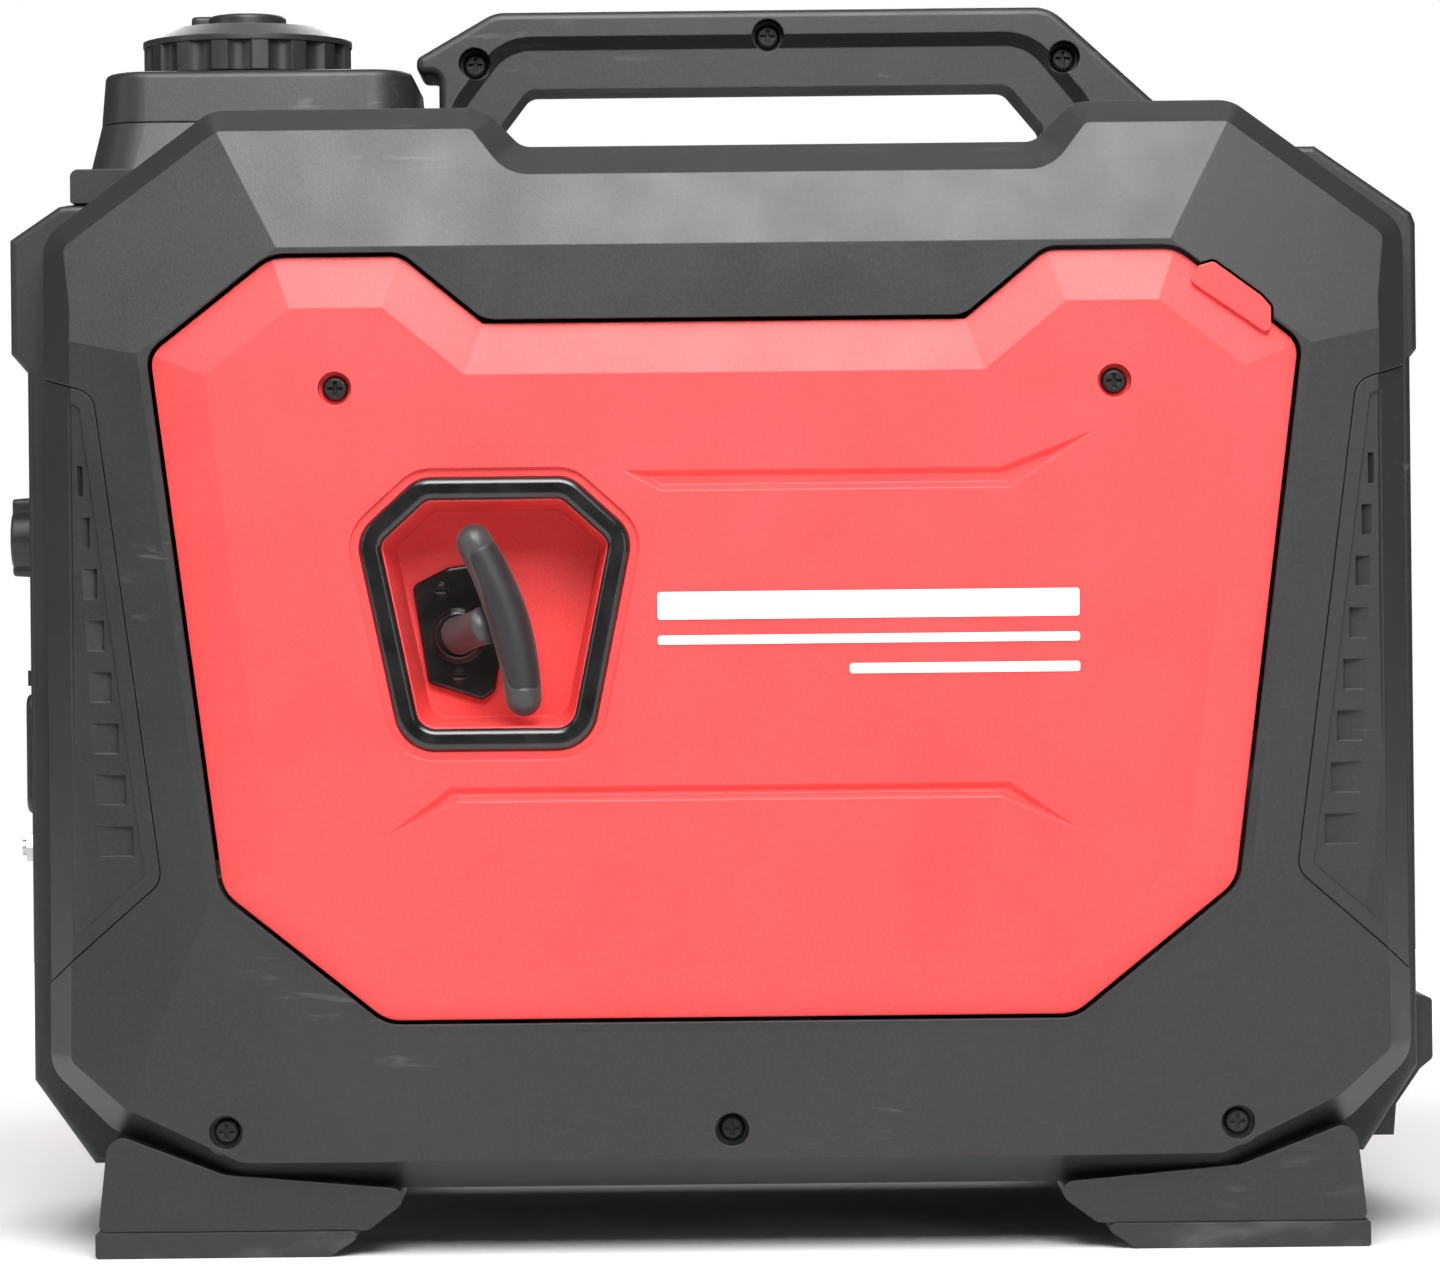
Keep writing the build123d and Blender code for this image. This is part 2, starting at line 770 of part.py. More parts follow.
# ---------------------------------------------------------------- recoil starter, inside
spool_y = seam_y - 9.0
rope_turn = 9.0
with BuildPart() as starter_rope:
    with BuildLine() as rope_path:
        entry = (eyelet_x, -spool_y - rope_turn, eyelet_z)
        corner = (eyelet_x + rope_turn, -spool_y, eyelet_z)
        Line((eyelet_x, -neck_root, eyelet_z), entry)
        TangentArc(entry, corner, tangent=(0, 1, 0))
        Line(corner, (crank_x, -spool_y, eyelet_z))
        TangentArc(
            (crank_x, -spool_y, eyelet_z),
            (crank_x + pulley_radius, -spool_y, crank_z),
            tangent=(1, 0, 0),
        )
        TangentArc(
            (crank_x + pulley_radius, -spool_y, crank_z),
            (crank_x - pulley_radius, -spool_y, crank_z),
            tangent=(0, 0, -1),
        )
    with BuildSketch(Plane.XZ.offset(neck_root)):
        with Locations((eyelet_x, eyelet_z)):
            Circle(rope_radius)
    sweep()
write(starter_rope.part, "starter_rope")

spool_half = 3.4
with BuildPart() as recoil_pulley:
    with BuildSketch(Plane.XZ.offset(spool_y - spool_half - spool_flange)):
        with Locations((crank_x, crank_z)):
            Circle(pulley_radius + 8.0)
            Circle(spool_post_radius + running_gap, mode=Mode.SUBTRACT)
    extrude(amount=2 * (spool_half + spool_flange))
    with BuildSketch(Plane.XZ.offset(spool_y - spool_half)):
        with Locations((crank_x, crank_z)):
            Circle(pulley_radius + 9.0)
            Circle(pulley_radius - rope_radius - moving_gap, mode=Mode.SUBTRACT)
    extrude(amount=2 * spool_half, mode=Mode.SUBTRACT)
write(recoil_pulley.part, "recoil_pulley")

housing_radius = pulley_radius + 14.0
housing_outer_y = seam_y - 0.8
housing_inner_y = spool_y - 15.0
with BuildPart() as recoil_housing:
    with BuildSketch(Plane.XZ.offset(housing_inner_y)):
        with Locations((crank_x, crank_z)):
            Circle(housing_radius)
            Circle(housing_radius - 2.0, mode=Mode.SUBTRACT)
    extrude(amount=housing_outer_y - housing_inner_y)
    with BuildSketch(Plane.XZ.offset(housing_outer_y - 2.0)):
        with Locations((crank_x, crank_z)):
            Circle(housing_radius)
            with PolarLocations(housing_radius * 0.6, 6):
                SlotCenterToCenter(16.0, 7.0, mode=Mode.SUBTRACT)
    extrude(amount=2.0)
    with BuildSketch(Plane.XZ.offset(housing_inner_y)):
        with Locations((crank_x, crank_z)):
            Circle(spool_post_radius)
    extrude(amount=housing_outer_y - housing_inner_y)
    with BuildSketch(Plane.XZ.offset(spool_y - spool_half)):
        with Locations((crank_x - housing_radius, eyelet_z)):
            Rectangle(2 * housing_radius, 4 * rope_radius)
    extrude(amount=2 * spool_half, mode=Mode.SUBTRACT)
write(recoil_housing.part, "recoil_housing")

spring_turns = 6
spring_steps = 18
spring_outer = pulley_radius - 6.0
spring_inner = spool_post_radius + 3.0
spring_pitch = (spring_outer - spring_inner) / (spring_turns * spring_steps)
spring_arc = 2 * pi / spring_steps


def spring_point(step, radius_shift):
    """One corner of the coiled spring strip."""
    radius = spring_inner + step * spring_pitch + radius_shift
    return (crank_x + radius * cos(step * spring_arc), crank_z + radius * sin(step * spring_arc))


spring_steps_all = range(spring_turns * spring_steps + 1)
spring_strip = [spring_point(step, 0.0) for step in spring_steps_all]
spring_strip += [spring_point(step, 1.0) for step in reversed(spring_steps_all)]
spring_y = spool_y - spool_half - spool_flange - moving_gap
with BuildPart() as recoil_spring:
    add(slab(polygon_face(spring_strip), spring_y - 6.0, spring_y))
write(recoil_spring.part, "recoil_spring")

# ---------------------------------------------------------------- alternator and fan
fan_front = housing_inner_y - 1.5
fan_back = fan_front - 16.0
rotor_front = fan_back - 1.0
rotor_back = rotor_front - 40.0
case_front = rotor_back - 8.0
with BuildPart() as crankshaft:
    with BuildSketch(Plane.XZ.offset(-case_depth - 6.0)):
        with Locations((crank_x, crank_z)):
            Circle(shaft_radius)
    extrude(amount=fan_front - 1.0 + case_depth + 6.0)
write(crankshaft.part, "crankshaft")

with BuildPart() as cooling_fan:
    with BuildSketch(Plane.XZ.offset(fan_back)):
        with Locations((crank_x, crank_z)):
            Circle(fan_radius)
            Circle(shaft_radius, mode=Mode.SUBTRACT)
    extrude(amount=2.5)
    with BuildSketch(Plane.XZ.offset(fan_back)):
        with Locations((crank_x, crank_z)):
            Circle(shaft_radius + 8.0)
            Circle(shaft_radius, mode=Mode.SUBTRACT)
            with PolarLocations(fan_radius * 0.72, 14):
                with Locations(Rotation(0, 0, 22)):
                    Rectangle(fan_radius * 0.46, 2.2)
    extrude(amount=fan_front - fan_back)
write(cooling_fan.part, "cooling_fan")

with BuildPart() as flywheel_rotor:
    with BuildSketch(Plane.XZ.offset(rotor_back)):
        with Locations((crank_x, crank_z)):
            Circle(rotor_radius)
            Circle(shaft_radius, mode=Mode.SUBTRACT)
    extrude(amount=rotor_front - rotor_back)
    with BuildSketch(Plane.XZ.offset(rotor_back)):
        with Locations((crank_x, crank_z)):
            Circle(rotor_radius - rotor_wall)
            Circle(shaft_radius + 8.0, mode=Mode.SUBTRACT)
    extrude(amount=rotor_front - rotor_back - rotor_wall, mode=Mode.SUBTRACT)
write(flywheel_rotor.part, "flywheel_rotor")

stator_radius = rotor_radius - rotor_wall - 1.0
with BuildPart() as stator:
    with BuildSketch(Plane.XZ.offset(rotor_back + 6.0)):
        with Locations((crank_x, crank_z)):
            Circle(stator_hub)
            with PolarLocations((stator_radius + stator_hub) / 2 - 4.0, stator_poles):
                Rectangle(stator_radius - stator_hub, 6.0)
            with PolarLocations(stator_radius - 3.0, stator_poles):
                Rectangle(4.0, 13.0)
            Circle(stator_hub - 12.0, mode=Mode.SUBTRACT)
    extrude(amount=24.0)
    with BuildSketch(Plane.XZ.offset(case_front)):
        with Locations((crank_x, crank_z)):
            Circle(stator_hub - 6.0)
            Circle(stator_hub - 12.0, mode=Mode.SUBTRACT)
    extrude(amount=rotor_back + 6.0 - case_front)
write(stator.part, "stator")

shroud_inner = rotor_radius + 7.0
with BuildPart() as fan_shroud:
    with BuildSketch(Plane.XZ.offset(rotor_back)):
        with Locations((crank_x, crank_z)):
            Circle(shroud_inner + 3.0)
            Circle(shroud_inner, mode=Mode.SUBTRACT)
    extrude(amount=fan_front - rotor_back)
    with BuildSketch(Plane.XZ.offset(fan_front)):
        with Locations((crank_x, crank_z)):
            Circle(shroud_inner + 3.0)
            Circle(housing_radius - 2.0, mode=Mode.SUBTRACT)
    extrude(amount=housing_inner_y - fan_front)
write(fan_shroud.part, "fan_shroud")

# ---------------------------------------------------------------- engine
barrel_direction = Vector(cos(radians(barrel_tilt)), 0, sin(radians(barrel_tilt)))
barrel_y = (case_depth - case_front) / 2
barrel_plane = Plane(origin=(crank_x, barrel_y, crank_z), x_dir=(0, 1, 0), z_dir=barrel_direction)
barrel_foot = case_width / 2 / cos(radians(barrel_tilt)) + 14.0
with BuildPart() as crankcase:
    with BuildSketch(Plane.XZ.offset(-case_depth)):
        with Locations((crank_x, crank_z)):
            RectangleRounded(case_width, case_height, 18.0)
    extrude(amount=case_front + case_depth)
    with BuildSketch(Plane.XZ.offset(-case_depth + 6.0)):
        with Locations((crank_x, crank_z)):
            RectangleRounded(case_width - 12.0, case_height - 12.0, 12.0)
    extrude(amount=case_front + case_depth - 12.0, mode=Mode.SUBTRACT)
    with BuildSketch(Plane.XZ.offset(-case_depth)):
        with Locations((crank_x, crank_z)):
            Circle(shaft_radius + running_gap)
    extrude(amount=case_front + case_depth, mode=Mode.SUBTRACT)
    with BuildSketch(Plane.XY.offset(mount_top)):
        with GridLocations(case_width - 24.0, case_depth + case_front - 20.0, 2, 2):
            with Locations((crank_x, (case_depth - case_front) / 2)):
                Rectangle(20.0, 16.0)
    extrude(amount=crank_z - case_height / 2 - mount_top + 1.0)
    with BuildSketch(barrel_plane.offset(case_width / 2 - 12.0)):
        Circle(barrel_radius + 4.0)
        Circle(barrel_radius - 8.0, mode=Mode.SUBTRACT)
    extrude(amount=barrel_foot - case_width / 2 + 12.0)
write(crankcase.part, "crankcase")
with BuildPart() as cylinder:
    with BuildSketch(barrel_plane.offset(barrel_foot)):
        Circle(barrel_radius)
    extrude(amount=barrel_length)
    for fin in range(fin_count):
        with BuildSketch(barrel_plane.offset(barrel_foot + 6.0 + fin * fin_pitch)):
            RectangleRounded(fin_width, fin_width, 8.0)
        extrude(amount=fin_thickness)
    with BuildSketch(barrel_plane.offset(barrel_foot)):
        Circle(barrel_radius - 8.0)
    extrude(amount=barrel_length, mode=Mode.SUBTRACT)
write(cylinder.part, "cylinder")

head_foot = barrel_foot + barrel_length
with BuildPart() as cylinder_head:
    with BuildSketch(barrel_plane.offset(head_foot)):
        RectangleRounded(fin_width, fin_width, 10.0)
    extrude(amount=head_height)
    fillet(cylinder_head.faces().sort_by(Axis.X)[-1].edges(), 4.0)
    with BuildSketch(barrel_plane.offset(head_foot + head_height - 12.0)):
        Circle(plug_radius + fit_gap / 4)
    extrude(amount=12.0, mode=Mode.SUBTRACT)
write(cylinder_head.part, "cylinder_head")

with BuildPart() as spark_plug:
    with BuildSketch(barrel_plane.offset(head_foot + head_height - 12.0)):
        Circle(plug_radius)
    extrude(amount=12.0)
    with BuildSketch(barrel_plane.offset(head_foot + head_height)):
        RegularPolygon(plug_radius + 3.0, 6)
    extrude(amount=6.0)
    with BuildSketch(barrel_plane.offset(head_foot + head_height + 6.0)):
        Circle(plug_radius - 2.0)
    extrude(amount=16.0)
write(spark_plug.part, "spark_plug")

with BuildPart() as carburetor:
    with BuildSketch(Plane.XY.offset(crank_z + case_height / 2 + 4.0)):
        with Locations((crank_x - 22.0, barrel_y + 14.0)):
            RectangleRounded(40.0, 34.0, 5.0)
    extrude(amount=38.0)
    with BuildSketch(Plane.XY.offset(crank_z + case_height / 2 + 42.0)):
        with Locations((crank_x - 22.0, barrel_y + 14.0)):
            Circle(15.0)
    extrude(amount=10.0)
write(carburetor.part, "carburetor")

with BuildPart() as air_cleaner:
    with BuildSketch(Plane.XY.offset(crank_z + 14.0)):
        with Locations((crank_x - case_width / 2 - 40.0, barrel_y)):
            RectangleRounded(68.0, 80.0, 8.0)
    extrude(amount=84.0)
    fillet(air_cleaner.faces().sort_by(Axis.Z)[-1].edges(), 5.0)
write(air_cleaner.part, "air_cleaner")

with BuildPart() as engine_mounts:
    with BuildSketch(Plane.XY.offset(mount_foot)):
        with GridLocations(case_width - 24.0, case_depth + case_front - 20.0, 2, 2):
            with Locations((crank_x, (case_depth - case_front) / 2)):
                Circle(11.0)
    extrude(amount=mount_top - mount_foot)
write(engine_mounts.part, "engine_mounts")

# ---------------------------------------------------------------- exhaust
muffler_x = rear_face_x - cover_wall - 14.0
with BuildPart() as muffler:
    with BuildSketch(Plane.YZ.offset(muffler_x - muffler_length)):
        with Locations((0, muffler_z)):
            RectangleRounded(muffler_width, muffler_height, 24.0)
    extrude(amount=muffler_length)
    fillet(muffler.faces().filter_by(Plane.YZ).edges(), 8.0)
write(muffler.part, "muffler")

with BuildPart() as exhaust_outlet:
    with BuildSketch(Plane.YZ.offset(muffler_x)):
        with Locations((outlet_y, muffler_z)):
            Circle(outlet_radius)
            Circle(outlet_radius - 2.0, mode=Mode.SUBTRACT)
    extrude(amount=half_length - muffler_x)
    with BuildSketch(Plane.YZ.offset(half_length - 6.0)):
        with Locations((outlet_y, muffler_z)):
            Circle(outlet_radius - 2.0)
            with GridLocations(4.2, 4.2, 5, 5):
                Circle(1.5, mode=Mode.SUBTRACT)
    extrude(amount=1.2)
write(exhaust_outlet.part, "exhaust_outlet")

# ---------------------------------------------------------------- end covers
front_points = [
    (cover_depth - hood_x, cover_keel_z),
    (22.0 - front_x, cover_keel_z),
    (-front_x, cover_low_z),
    (-front_x, hood_z - 7.0),
    (-hood_x, hood_z),
    (-hood_x, hood_top_z),
    (18.3 - hood_x, hood_crest_z - 0.6),
    (22.0 - hood_x, hood_crest_z),
    (cover_depth - hood_x, hood_crest_z),
]
rear_points = [
    (rear_hood_x - cover_depth, cover_keel_z),
    (rear_face_x - 20.0, cover_keel_z),
    (rear_face_x, cover_low_z),
    (rear_face_x, hood_z - 6.6),
    (rear_hood_x, hood_z - 3.4),
    (rear_hood_x, hood_top_z + 1.0),
    (rear_hood_x - 1.5, hood_top_z + 5.0),
    (rear_hood_x - 37.0, rear_crest_z),
    (rear_hood_x - cover_depth, rear_crest_z),
]


def end_shell(points, outwards):
    """Moulded end cover with closed sides, open towards the middle of the machine."""
    face = polygon_face(points)
    hollow = grown(face, -cover_wall)
    depth = cover_half - cover_wall
    with BuildPart() as shell:
        add(slab(face, -cover_half, cover_half))
        fillet(shell.faces().filter_by(Plane.XZ).edges().filter_by(Plane.XZ), 2.5)
        add(slab(hollow, -depth, depth), mode=Mode.SUBTRACT)
        add(slab(hollow.moved(Pos(-outwards * cover_wall * 1.5, 0, 0)), -depth, depth), mode=Mode.SUBTRACT)
    return shell.part


control_x = front_x - cover_wall - fit_gap
control_plane = Plane(origin=(-control_x, 0, 0), x_dir=(0, -1, 0), z_dir=(-1, 0, 0))
control_centre = (control_low_z + control_high_z) / 2
control_height = control_high_z - control_low_z
with BuildPart() as front_cover:
    add(end_shell(front_points, -1))
    with BuildSketch(control_plane.offset(-1.0)):
        with Locations((0, control_centre)):
            RectangleRounded(2 * control_half, control_height, 8.0)
    extrude(amount=cover_wall + 10.0, mode=Mode.SUBTRACT)
    with BuildSketch(control_plane.offset(-1.0)):
        with Locations((ground_u, ground_z)):
            Circle(ground_radius + fit_gap)
    extrude(amount=cover_wall + 10.0, mode=Mode.SUBTRACT)
write(front_cover.part, "front_cover")

outlet_land = rear_face_x + louvre_stick + 0.6
with BuildPart() as rear_cover:
    add(end_shell(rear_points, 1))
    for louvre in range(louvre_count):
        louvre_z = louvre_first_z + louvre * louvre_pitch
        with BuildSketch(Plane.XZ.offset(-louvre_half)):
            with Locations((rear_face_x + louvre_stick / 2 - 0.5, louvre_z)):
                with GridLocations(0, louvre_slot, 1, 2):
                    RectangleRounded(louvre_stick + 1.0, 2.4, 1.0)
        extrude(amount=2 * louvre_half)
    with BuildSketch(Plane.YZ.offset(rear_face_x - 1.0)):
        with Locations((outlet_y, muffler_z)):
            Circle(outlet_radius + 10.0)
    extrude(amount=outlet_land - rear_face_x + 1.0)
    for louvre in range(louvre_count):
        louvre_z = louvre_first_z + louvre * louvre_pitch
        reach = louvre_half - 4.0
        inner_edge = outlet_y - outlet_radius - 14.0
        blocked = abs(louvre_z - muffler_z) < outlet_radius + 12.0
        slot_high = inner_edge if blocked else reach
        with BuildSketch(Plane.YZ.offset(rear_face_x - cover_wall - 1.0)):
            with Locations(((slot_high - reach) / 2, louvre_z)):
                Rectangle(slot_high + reach, louvre_slot - 2.6)
        extrude(amount=cover_wall + louvre_stick + 2.0, mode=Mode.SUBTRACT)
    with BuildSketch(Plane.YZ.offset(rear_face_x - cover_wall - 1.0)):
        with Locations((outlet_y, muffler_z)):
            Circle(outlet_radius + 2.0)
    extrude(amount=outlet_land - rear_face_x + cover_wall + 2.0, mode=Mode.SUBTRACT)
write(rear_cover.part, "rear_cover")

bumper_points = [
    (rear_face_x + fit_gap, bumper_high + 2.0),
    (rear_face_x + fit_gap, cover_low_z),
    (rear_face_x - 16.0, cover_keel_z + 4.5),
    (rear_face_x - 7.5, cover_keel_z + 4.5),
    (rear_face_x - 6.5, cover_keel_z + 16.0),
    (bumper_x - 5.0, bumper_low),
    (bumper_x, bumper_low + 4.0),
    (bumper_x, bumper_high),
]
with BuildPart() as rear_bumper:
    add(slab(polygon_face(bumper_points), -bumper_half, bumper_half))
    fillet(rear_bumper.faces().sort_by(Axis.X)[-1].edges(), 2.0)
write(rear_bumper.part, "rear_bumper")

# ---------------------------------------------------------------- control panel and its parts
lamp_spots = [(-16.0, lamp_z), (0.0, lamp_z), (16.0, lamp_z)]
button_spots = {"dc_breaker_button": (-24.0, row_z), "ac_breaker_button": (-56.0, row_z)}
port_spots = [(-34.0, outlet_row_z), (-60.0, outlet_row_z)]
socket_spots = {"left": (-socket_u, socket_z), "right": (socket_u, socket_z)}
with BuildPart() as control_panel:
    with BuildSketch(control_plane.offset(-panel_plate)):
        with Locations((0, control_centre)):
            RectangleRounded(2 * control_half + 12.0, control_height + 12.0, 8.0)
    extrude(amount=panel_plate)
    with BuildSketch(control_plane):
        with Locations((rocker_u, row_z)):
            RectangleRounded(rocker_width + 8.0, rocker_height + 8.0, 2.0)
        with Locations(*button_spots.values()):
            Circle(button_radius + 3.5)
    extrude(amount=bezel_height)
    with BuildSketch(control_plane.offset(-panel_plate)):
        with Locations(*lamp_spots):
            Circle(lamp_radius)
        with Locations(*button_spots.values()):
            Circle(button_radius + button_gap)
        with Locations((rocker_u, row_z)):
            Rectangle(rocker_width + 2 * moving_gap, rocker_height + 2 * moving_gap)
        with Locations((knob_u, row_z)):
            Circle(knob_shaft_radius + running_gap)
        with Locations((usb_u, outlet_row_z)):
            Rectangle(usb_width, usb_height)
        with Locations((dc_u, outlet_row_z)):
            Circle(dc_radius)
        with Locations(*port_spots):
            Circle(port_radius)
        with Locations(*socket_spots.values()):
            Circle(socket_radius)
    extrude(amount=panel_plate + bezel_height, mode=Mode.SUBTRACT)
    with BuildSketch(Plane.XZ.offset(rocker_u - rocker_width / 2 - moving_gap - rocker_pin)):
        with Locations((-control_x - rocker_pivot, row_z)):
            Circle(rocker_pin_radius + running_gap)
    extrude(amount=rocker_width + 2 * moving_gap + 2 * rocker_pin, mode=Mode.SUBTRACT)
write(control_panel.part, "control_panel")

with BuildPart() as indicator_lights:
    with BuildSketch(control_plane.offset(-panel_plate)):
        with Locations(*lamp_spots):
            Circle(lamp_radius)
    extrude(amount=panel_plate + 2.0)
    fillet(indicator_lights.faces().group_by(Axis.X)[0].edges(), 1.6)
write(indicator_lights.part, "indicator_lights")

for button_name, button_spot in button_spots.items():
    with BuildPart() as button:
        with BuildSketch(control_plane.offset(-panel_plate - 3.0)):
            with Locations(button_spot):
                Circle(button_radius)
        extrude(amount=panel_plate + 3.0 + bezel_height + button_proud)
        fillet(button.faces().sort_by(Axis.X)[0].edges(), 1.2)
    write(button.part, button_name)

with BuildPart() as eco_switch:
    with BuildLine(Plane.XZ.offset(rocker_u - rocker_width / 2)) as rocker_line:
        Polyline(
            (-control_x + 1.0, row_z - rocker_height / 2 + 1.5),
            (-control_x + 1.0, row_z + rocker_height / 2 - 1.5),
            (-control_x - bezel_height + 0.4, row_z + rocker_height / 2 - 0.6),
            (-control_x - bezel_height, row_z),
            (-control_x - bezel_height - 3.2, row_z - rocker_height / 2 + 1.2),
            close=True,
        )
    with BuildSketch(Plane.XZ.offset(rocker_u - rocker_width / 2)):
        with BuildLine():
            add(rocker_line.line)
        make_face()
    extrude(amount=rocker_width)
    with BuildSketch(Plane.XZ.offset(rocker_u - rocker_width / 2 - moving_gap - rocker_pin + 0.4)):
        with Locations((-control_x - rocker_pivot, row_z)):
            Circle(rocker_pin_radius)
    extrude(amount=rocker_width + 2 * moving_gap + 2 * rocker_pin - 0.8)
write(eco_switch.part, "eco_switch")

with BuildPart() as engine_knob:
    with BuildSketch(control_plane.offset(moving_gap)):
        with Locations((knob_u, row_z)):
            Circle(knob_base_radius)
    extrude(amount=4.0, taper=10)
    with BuildSketch(control_plane.offset(moving_gap)):
        with Locations((knob_u, row_z)):
            Circle(knob_grip_radius)
            with Locations((0, 1.0)):
                RectangleRounded(9.0, 2 * knob_base_radius - 3.0, 3.0)
    extrude(amount=half_length - control_x - moving_gap, taper=4)
    fillet(engine_knob.faces().sort_by(Axis.X)[0].edges(), 1.2)
    with BuildSketch(control_plane.offset(-panel_plate - 6.0)):
        with Locations((knob_u, row_z)):
            Circle(knob_shaft_radius)
    extrude(amount=panel_plate + 6.0 + moving_gap)
write(engine_knob.part, "engine_knob")

with BuildPart() as usb_socket:
    with BuildSketch(control_plane.offset(-14.0)):
        with Locations((usb_u, outlet_row_z)):
            Rectangle(usb_width, usb_height)
    extrude(amount=15.0)
    with BuildSketch(control_plane.offset(-11.0)):
        with Locations((usb_u, outlet_row_z)):
            Rectangle(12.6, 5.2)
    extrude(amount=12.0, mode=Mode.SUBTRACT)
    with BuildSketch(control_plane.offset(-11.0)):
        with Locations((usb_u, outlet_row_z + 1.0)):
            Rectangle(10.0, 1.6)
    extrude(amount=9.0)
write(usb_socket.part, "usb_socket")

with BuildPart() as dc_socket:
    with BuildSketch(control_plane.offset(-18.0)):
        with Locations((dc_u, outlet_row_z)):
            Circle(dc_radius)
    extrude(amount=20.5)
    with BuildSketch(control_plane):
        with Locations((dc_u, outlet_row_z)):
            Circle(dc_radius + 3.0)
    extrude(amount=1.5)
    with BuildSketch(control_plane.offset(-12.0)):
        with Locations((dc_u, outlet_row_z)):
            with GridLocations(8.0, 0, 2, 1):
                Rectangle(2.0, 7.0)
    extrude(amount=16.0, mode=Mode.SUBTRACT)
write(dc_socket.part, "dc_socket")

with BuildPart() as parallel_ports:
    with BuildSketch(control_plane.offset(-16.0)):
        with Locations(*port_spots):
            Circle(port_radius)
    extrude(amount=16.0)
    with BuildSketch(control_plane):
        with Locations(*port_spots):
            Circle(port_radius + 2.5)
    extrude(amount=4.0, taper=14)
    with BuildSketch(control_plane.offset(-10.0)):
        with Locations(*port_spots):
            Circle(2.05)
    extrude(amount=15.0, mode=Mode.SUBTRACT)
write(parallel_ports.part, "parallel_ports")

hinge_x = control_x + socket_flange + moving_gap + hinge_knuckle
hinge_z = socket_z + socket_half + 1.0


def hinge_bar(u_low, u_high, radius):
    """Round bar on the hinge line between two distances along the panel."""
    with BuildPart() as bar:
        with BuildSketch(Plane.XZ.offset(u_low)):
            with Locations((-hinge_x, hinge_z)):
                Circle(radius)
        extrude(amount=u_high - u_low)
    return bar.part


for side_name, (spot_u, spot_z) in socket_spots.items():
    with BuildPart() as ac_socket:
        with BuildSketch(control_plane):
            with Locations((spot_u, spot_z)):
                RectangleRounded(2 * socket_half, 2 * socket_half, 6.0)
        extrude(amount=socket_flange)
        with BuildSketch(control_plane.offset(-socket_body)):
            with Locations((spot_u, spot_z)):
                Circle(socket_radius)
        extrude(amount=socket_body)
        with BuildSketch(control_plane.offset(socket_flange - socket_recess)):
            with Locations((spot_u, spot_z)):
                Circle(socket_well)
        extrude(amount=socket_recess, mode=Mode.SUBTRACT)
        with BuildSketch(control_plane.offset(-socket_body + 2.0)):
            with Locations((spot_u, spot_z)):
                with GridLocations(19.0, 0, 2, 1):
                    Circle(2.45)
        extrude(amount=socket_body, mode=Mode.SUBTRACT)
        for ear_u in (spot_u - ear_reach, spot_u + ear_reach - ear_width):
            with BuildSketch(Plane.XZ.offset(ear_u)):
                with Locations((-(control_x + hinge_x + hinge_knuckle) / 2, hinge_z)):
                    Rectangle(hinge_x + hinge_knuckle - control_x, 2 * hinge_knuckle)
            extrude(amount=ear_width)
        pin_hole = hinge_bar(spot_u - ear_reach - 1.0, spot_u + ear_reach + 1.0, hinge_pin + running_gap)
        add(pin_hole, mode=Mode.SUBTRACT)
        with BuildSketch(Plane.XZ.offset(spot_u - ear_reach + ear_width)):
            with Locations((-hinge_x, hinge_z)):
                Circle(hinge_knuckle + moving_gap)
        extrude(amount=2 * (ear_reach - ear_width), mode=Mode.SUBTRACT)
    write(ac_socket.part, f"ac_socket_{side_name}")

    with BuildPart() as socket_cover:
        with BuildSketch(control_plane.offset(socket_flange + moving_gap)):
            with Locations((spot_u, spot_z - 2.4)):
                RectangleRounded(2 * socket_half + 3.0, 2 * socket_half - 5.0, 6.0)
        extrude(amount=cover_plate)
        fillet(socket_cover.faces().sort_by(Axis.X)[0].edges(), 2.0)
        knuckle_half = ear_reach - ear_width - moving_gap
        add(hinge_bar(spot_u - knuckle_half, spot_u + knuckle_half, hinge_knuckle))
        with BuildSketch(control_plane.offset(hinge_x - control_x - 1.5)):
            with Locations((spot_u, hinge_z - 4.0)):
                Rectangle(2 * (ear_reach - ear_width) - 1.0, 8.0)
        extrude(amount=3.0)
        add(hinge_bar(spot_u - ear_reach, spot_u + ear_reach, hinge_pin))
    write(socket_cover.part, f"socket_cover_{side_name}")

with BuildPart() as ground_terminal:
    with BuildSketch(control_plane.offset(-8.0)):
        with Locations((ground_u, ground_z)):
            Circle(ground_radius)
    extrude(amount=8.0 + cover_wall + fit_gap + 4.4)
    with BuildSketch(control_plane.offset(cover_wall + fit_gap + 0.1)):
        with Locations((ground_u, ground_z)):
            RegularPolygon(5.8, 6)
    extrude(amount=2.6)
write(ground_terminal.part, "ground_terminal")

# ---------------------------------------------------------------- top cover, collar and tank
deck_front = hood_x - 22.5
deck_rear = rear_hood_x - cover_depth - fit_gap
deck_under = hood_crest_z + fit_gap
collar_x = cap_x + collar_shift
deck_points = [
    (-deck_front, deck_under),
    (deck_rear, deck_under),
    (deck_rear, deck_z),
    (-deck_front, deck_z),
]


def collar_outline(grow):
    """Rounded rectangle around the fuel filler, in plan."""
    with BuildSketch() as outline:
        with Locations((collar_x, 0)):
            RectangleRounded(2 * (collar_half_x + grow), 2 * (collar_half_y + grow), 18.0)
    return outline.sketch


def upright(low_face, low, high_face, high):
    """Solid between two plan outlines at two heights."""
    with BuildPart() as solid:
        with BuildSketch(Plane.XY.offset(low)):
            add(low_face)
        with BuildSketch(Plane.XY.offset(high)):
            add(high_face)
        loft(ruled=True)
    return solid.part


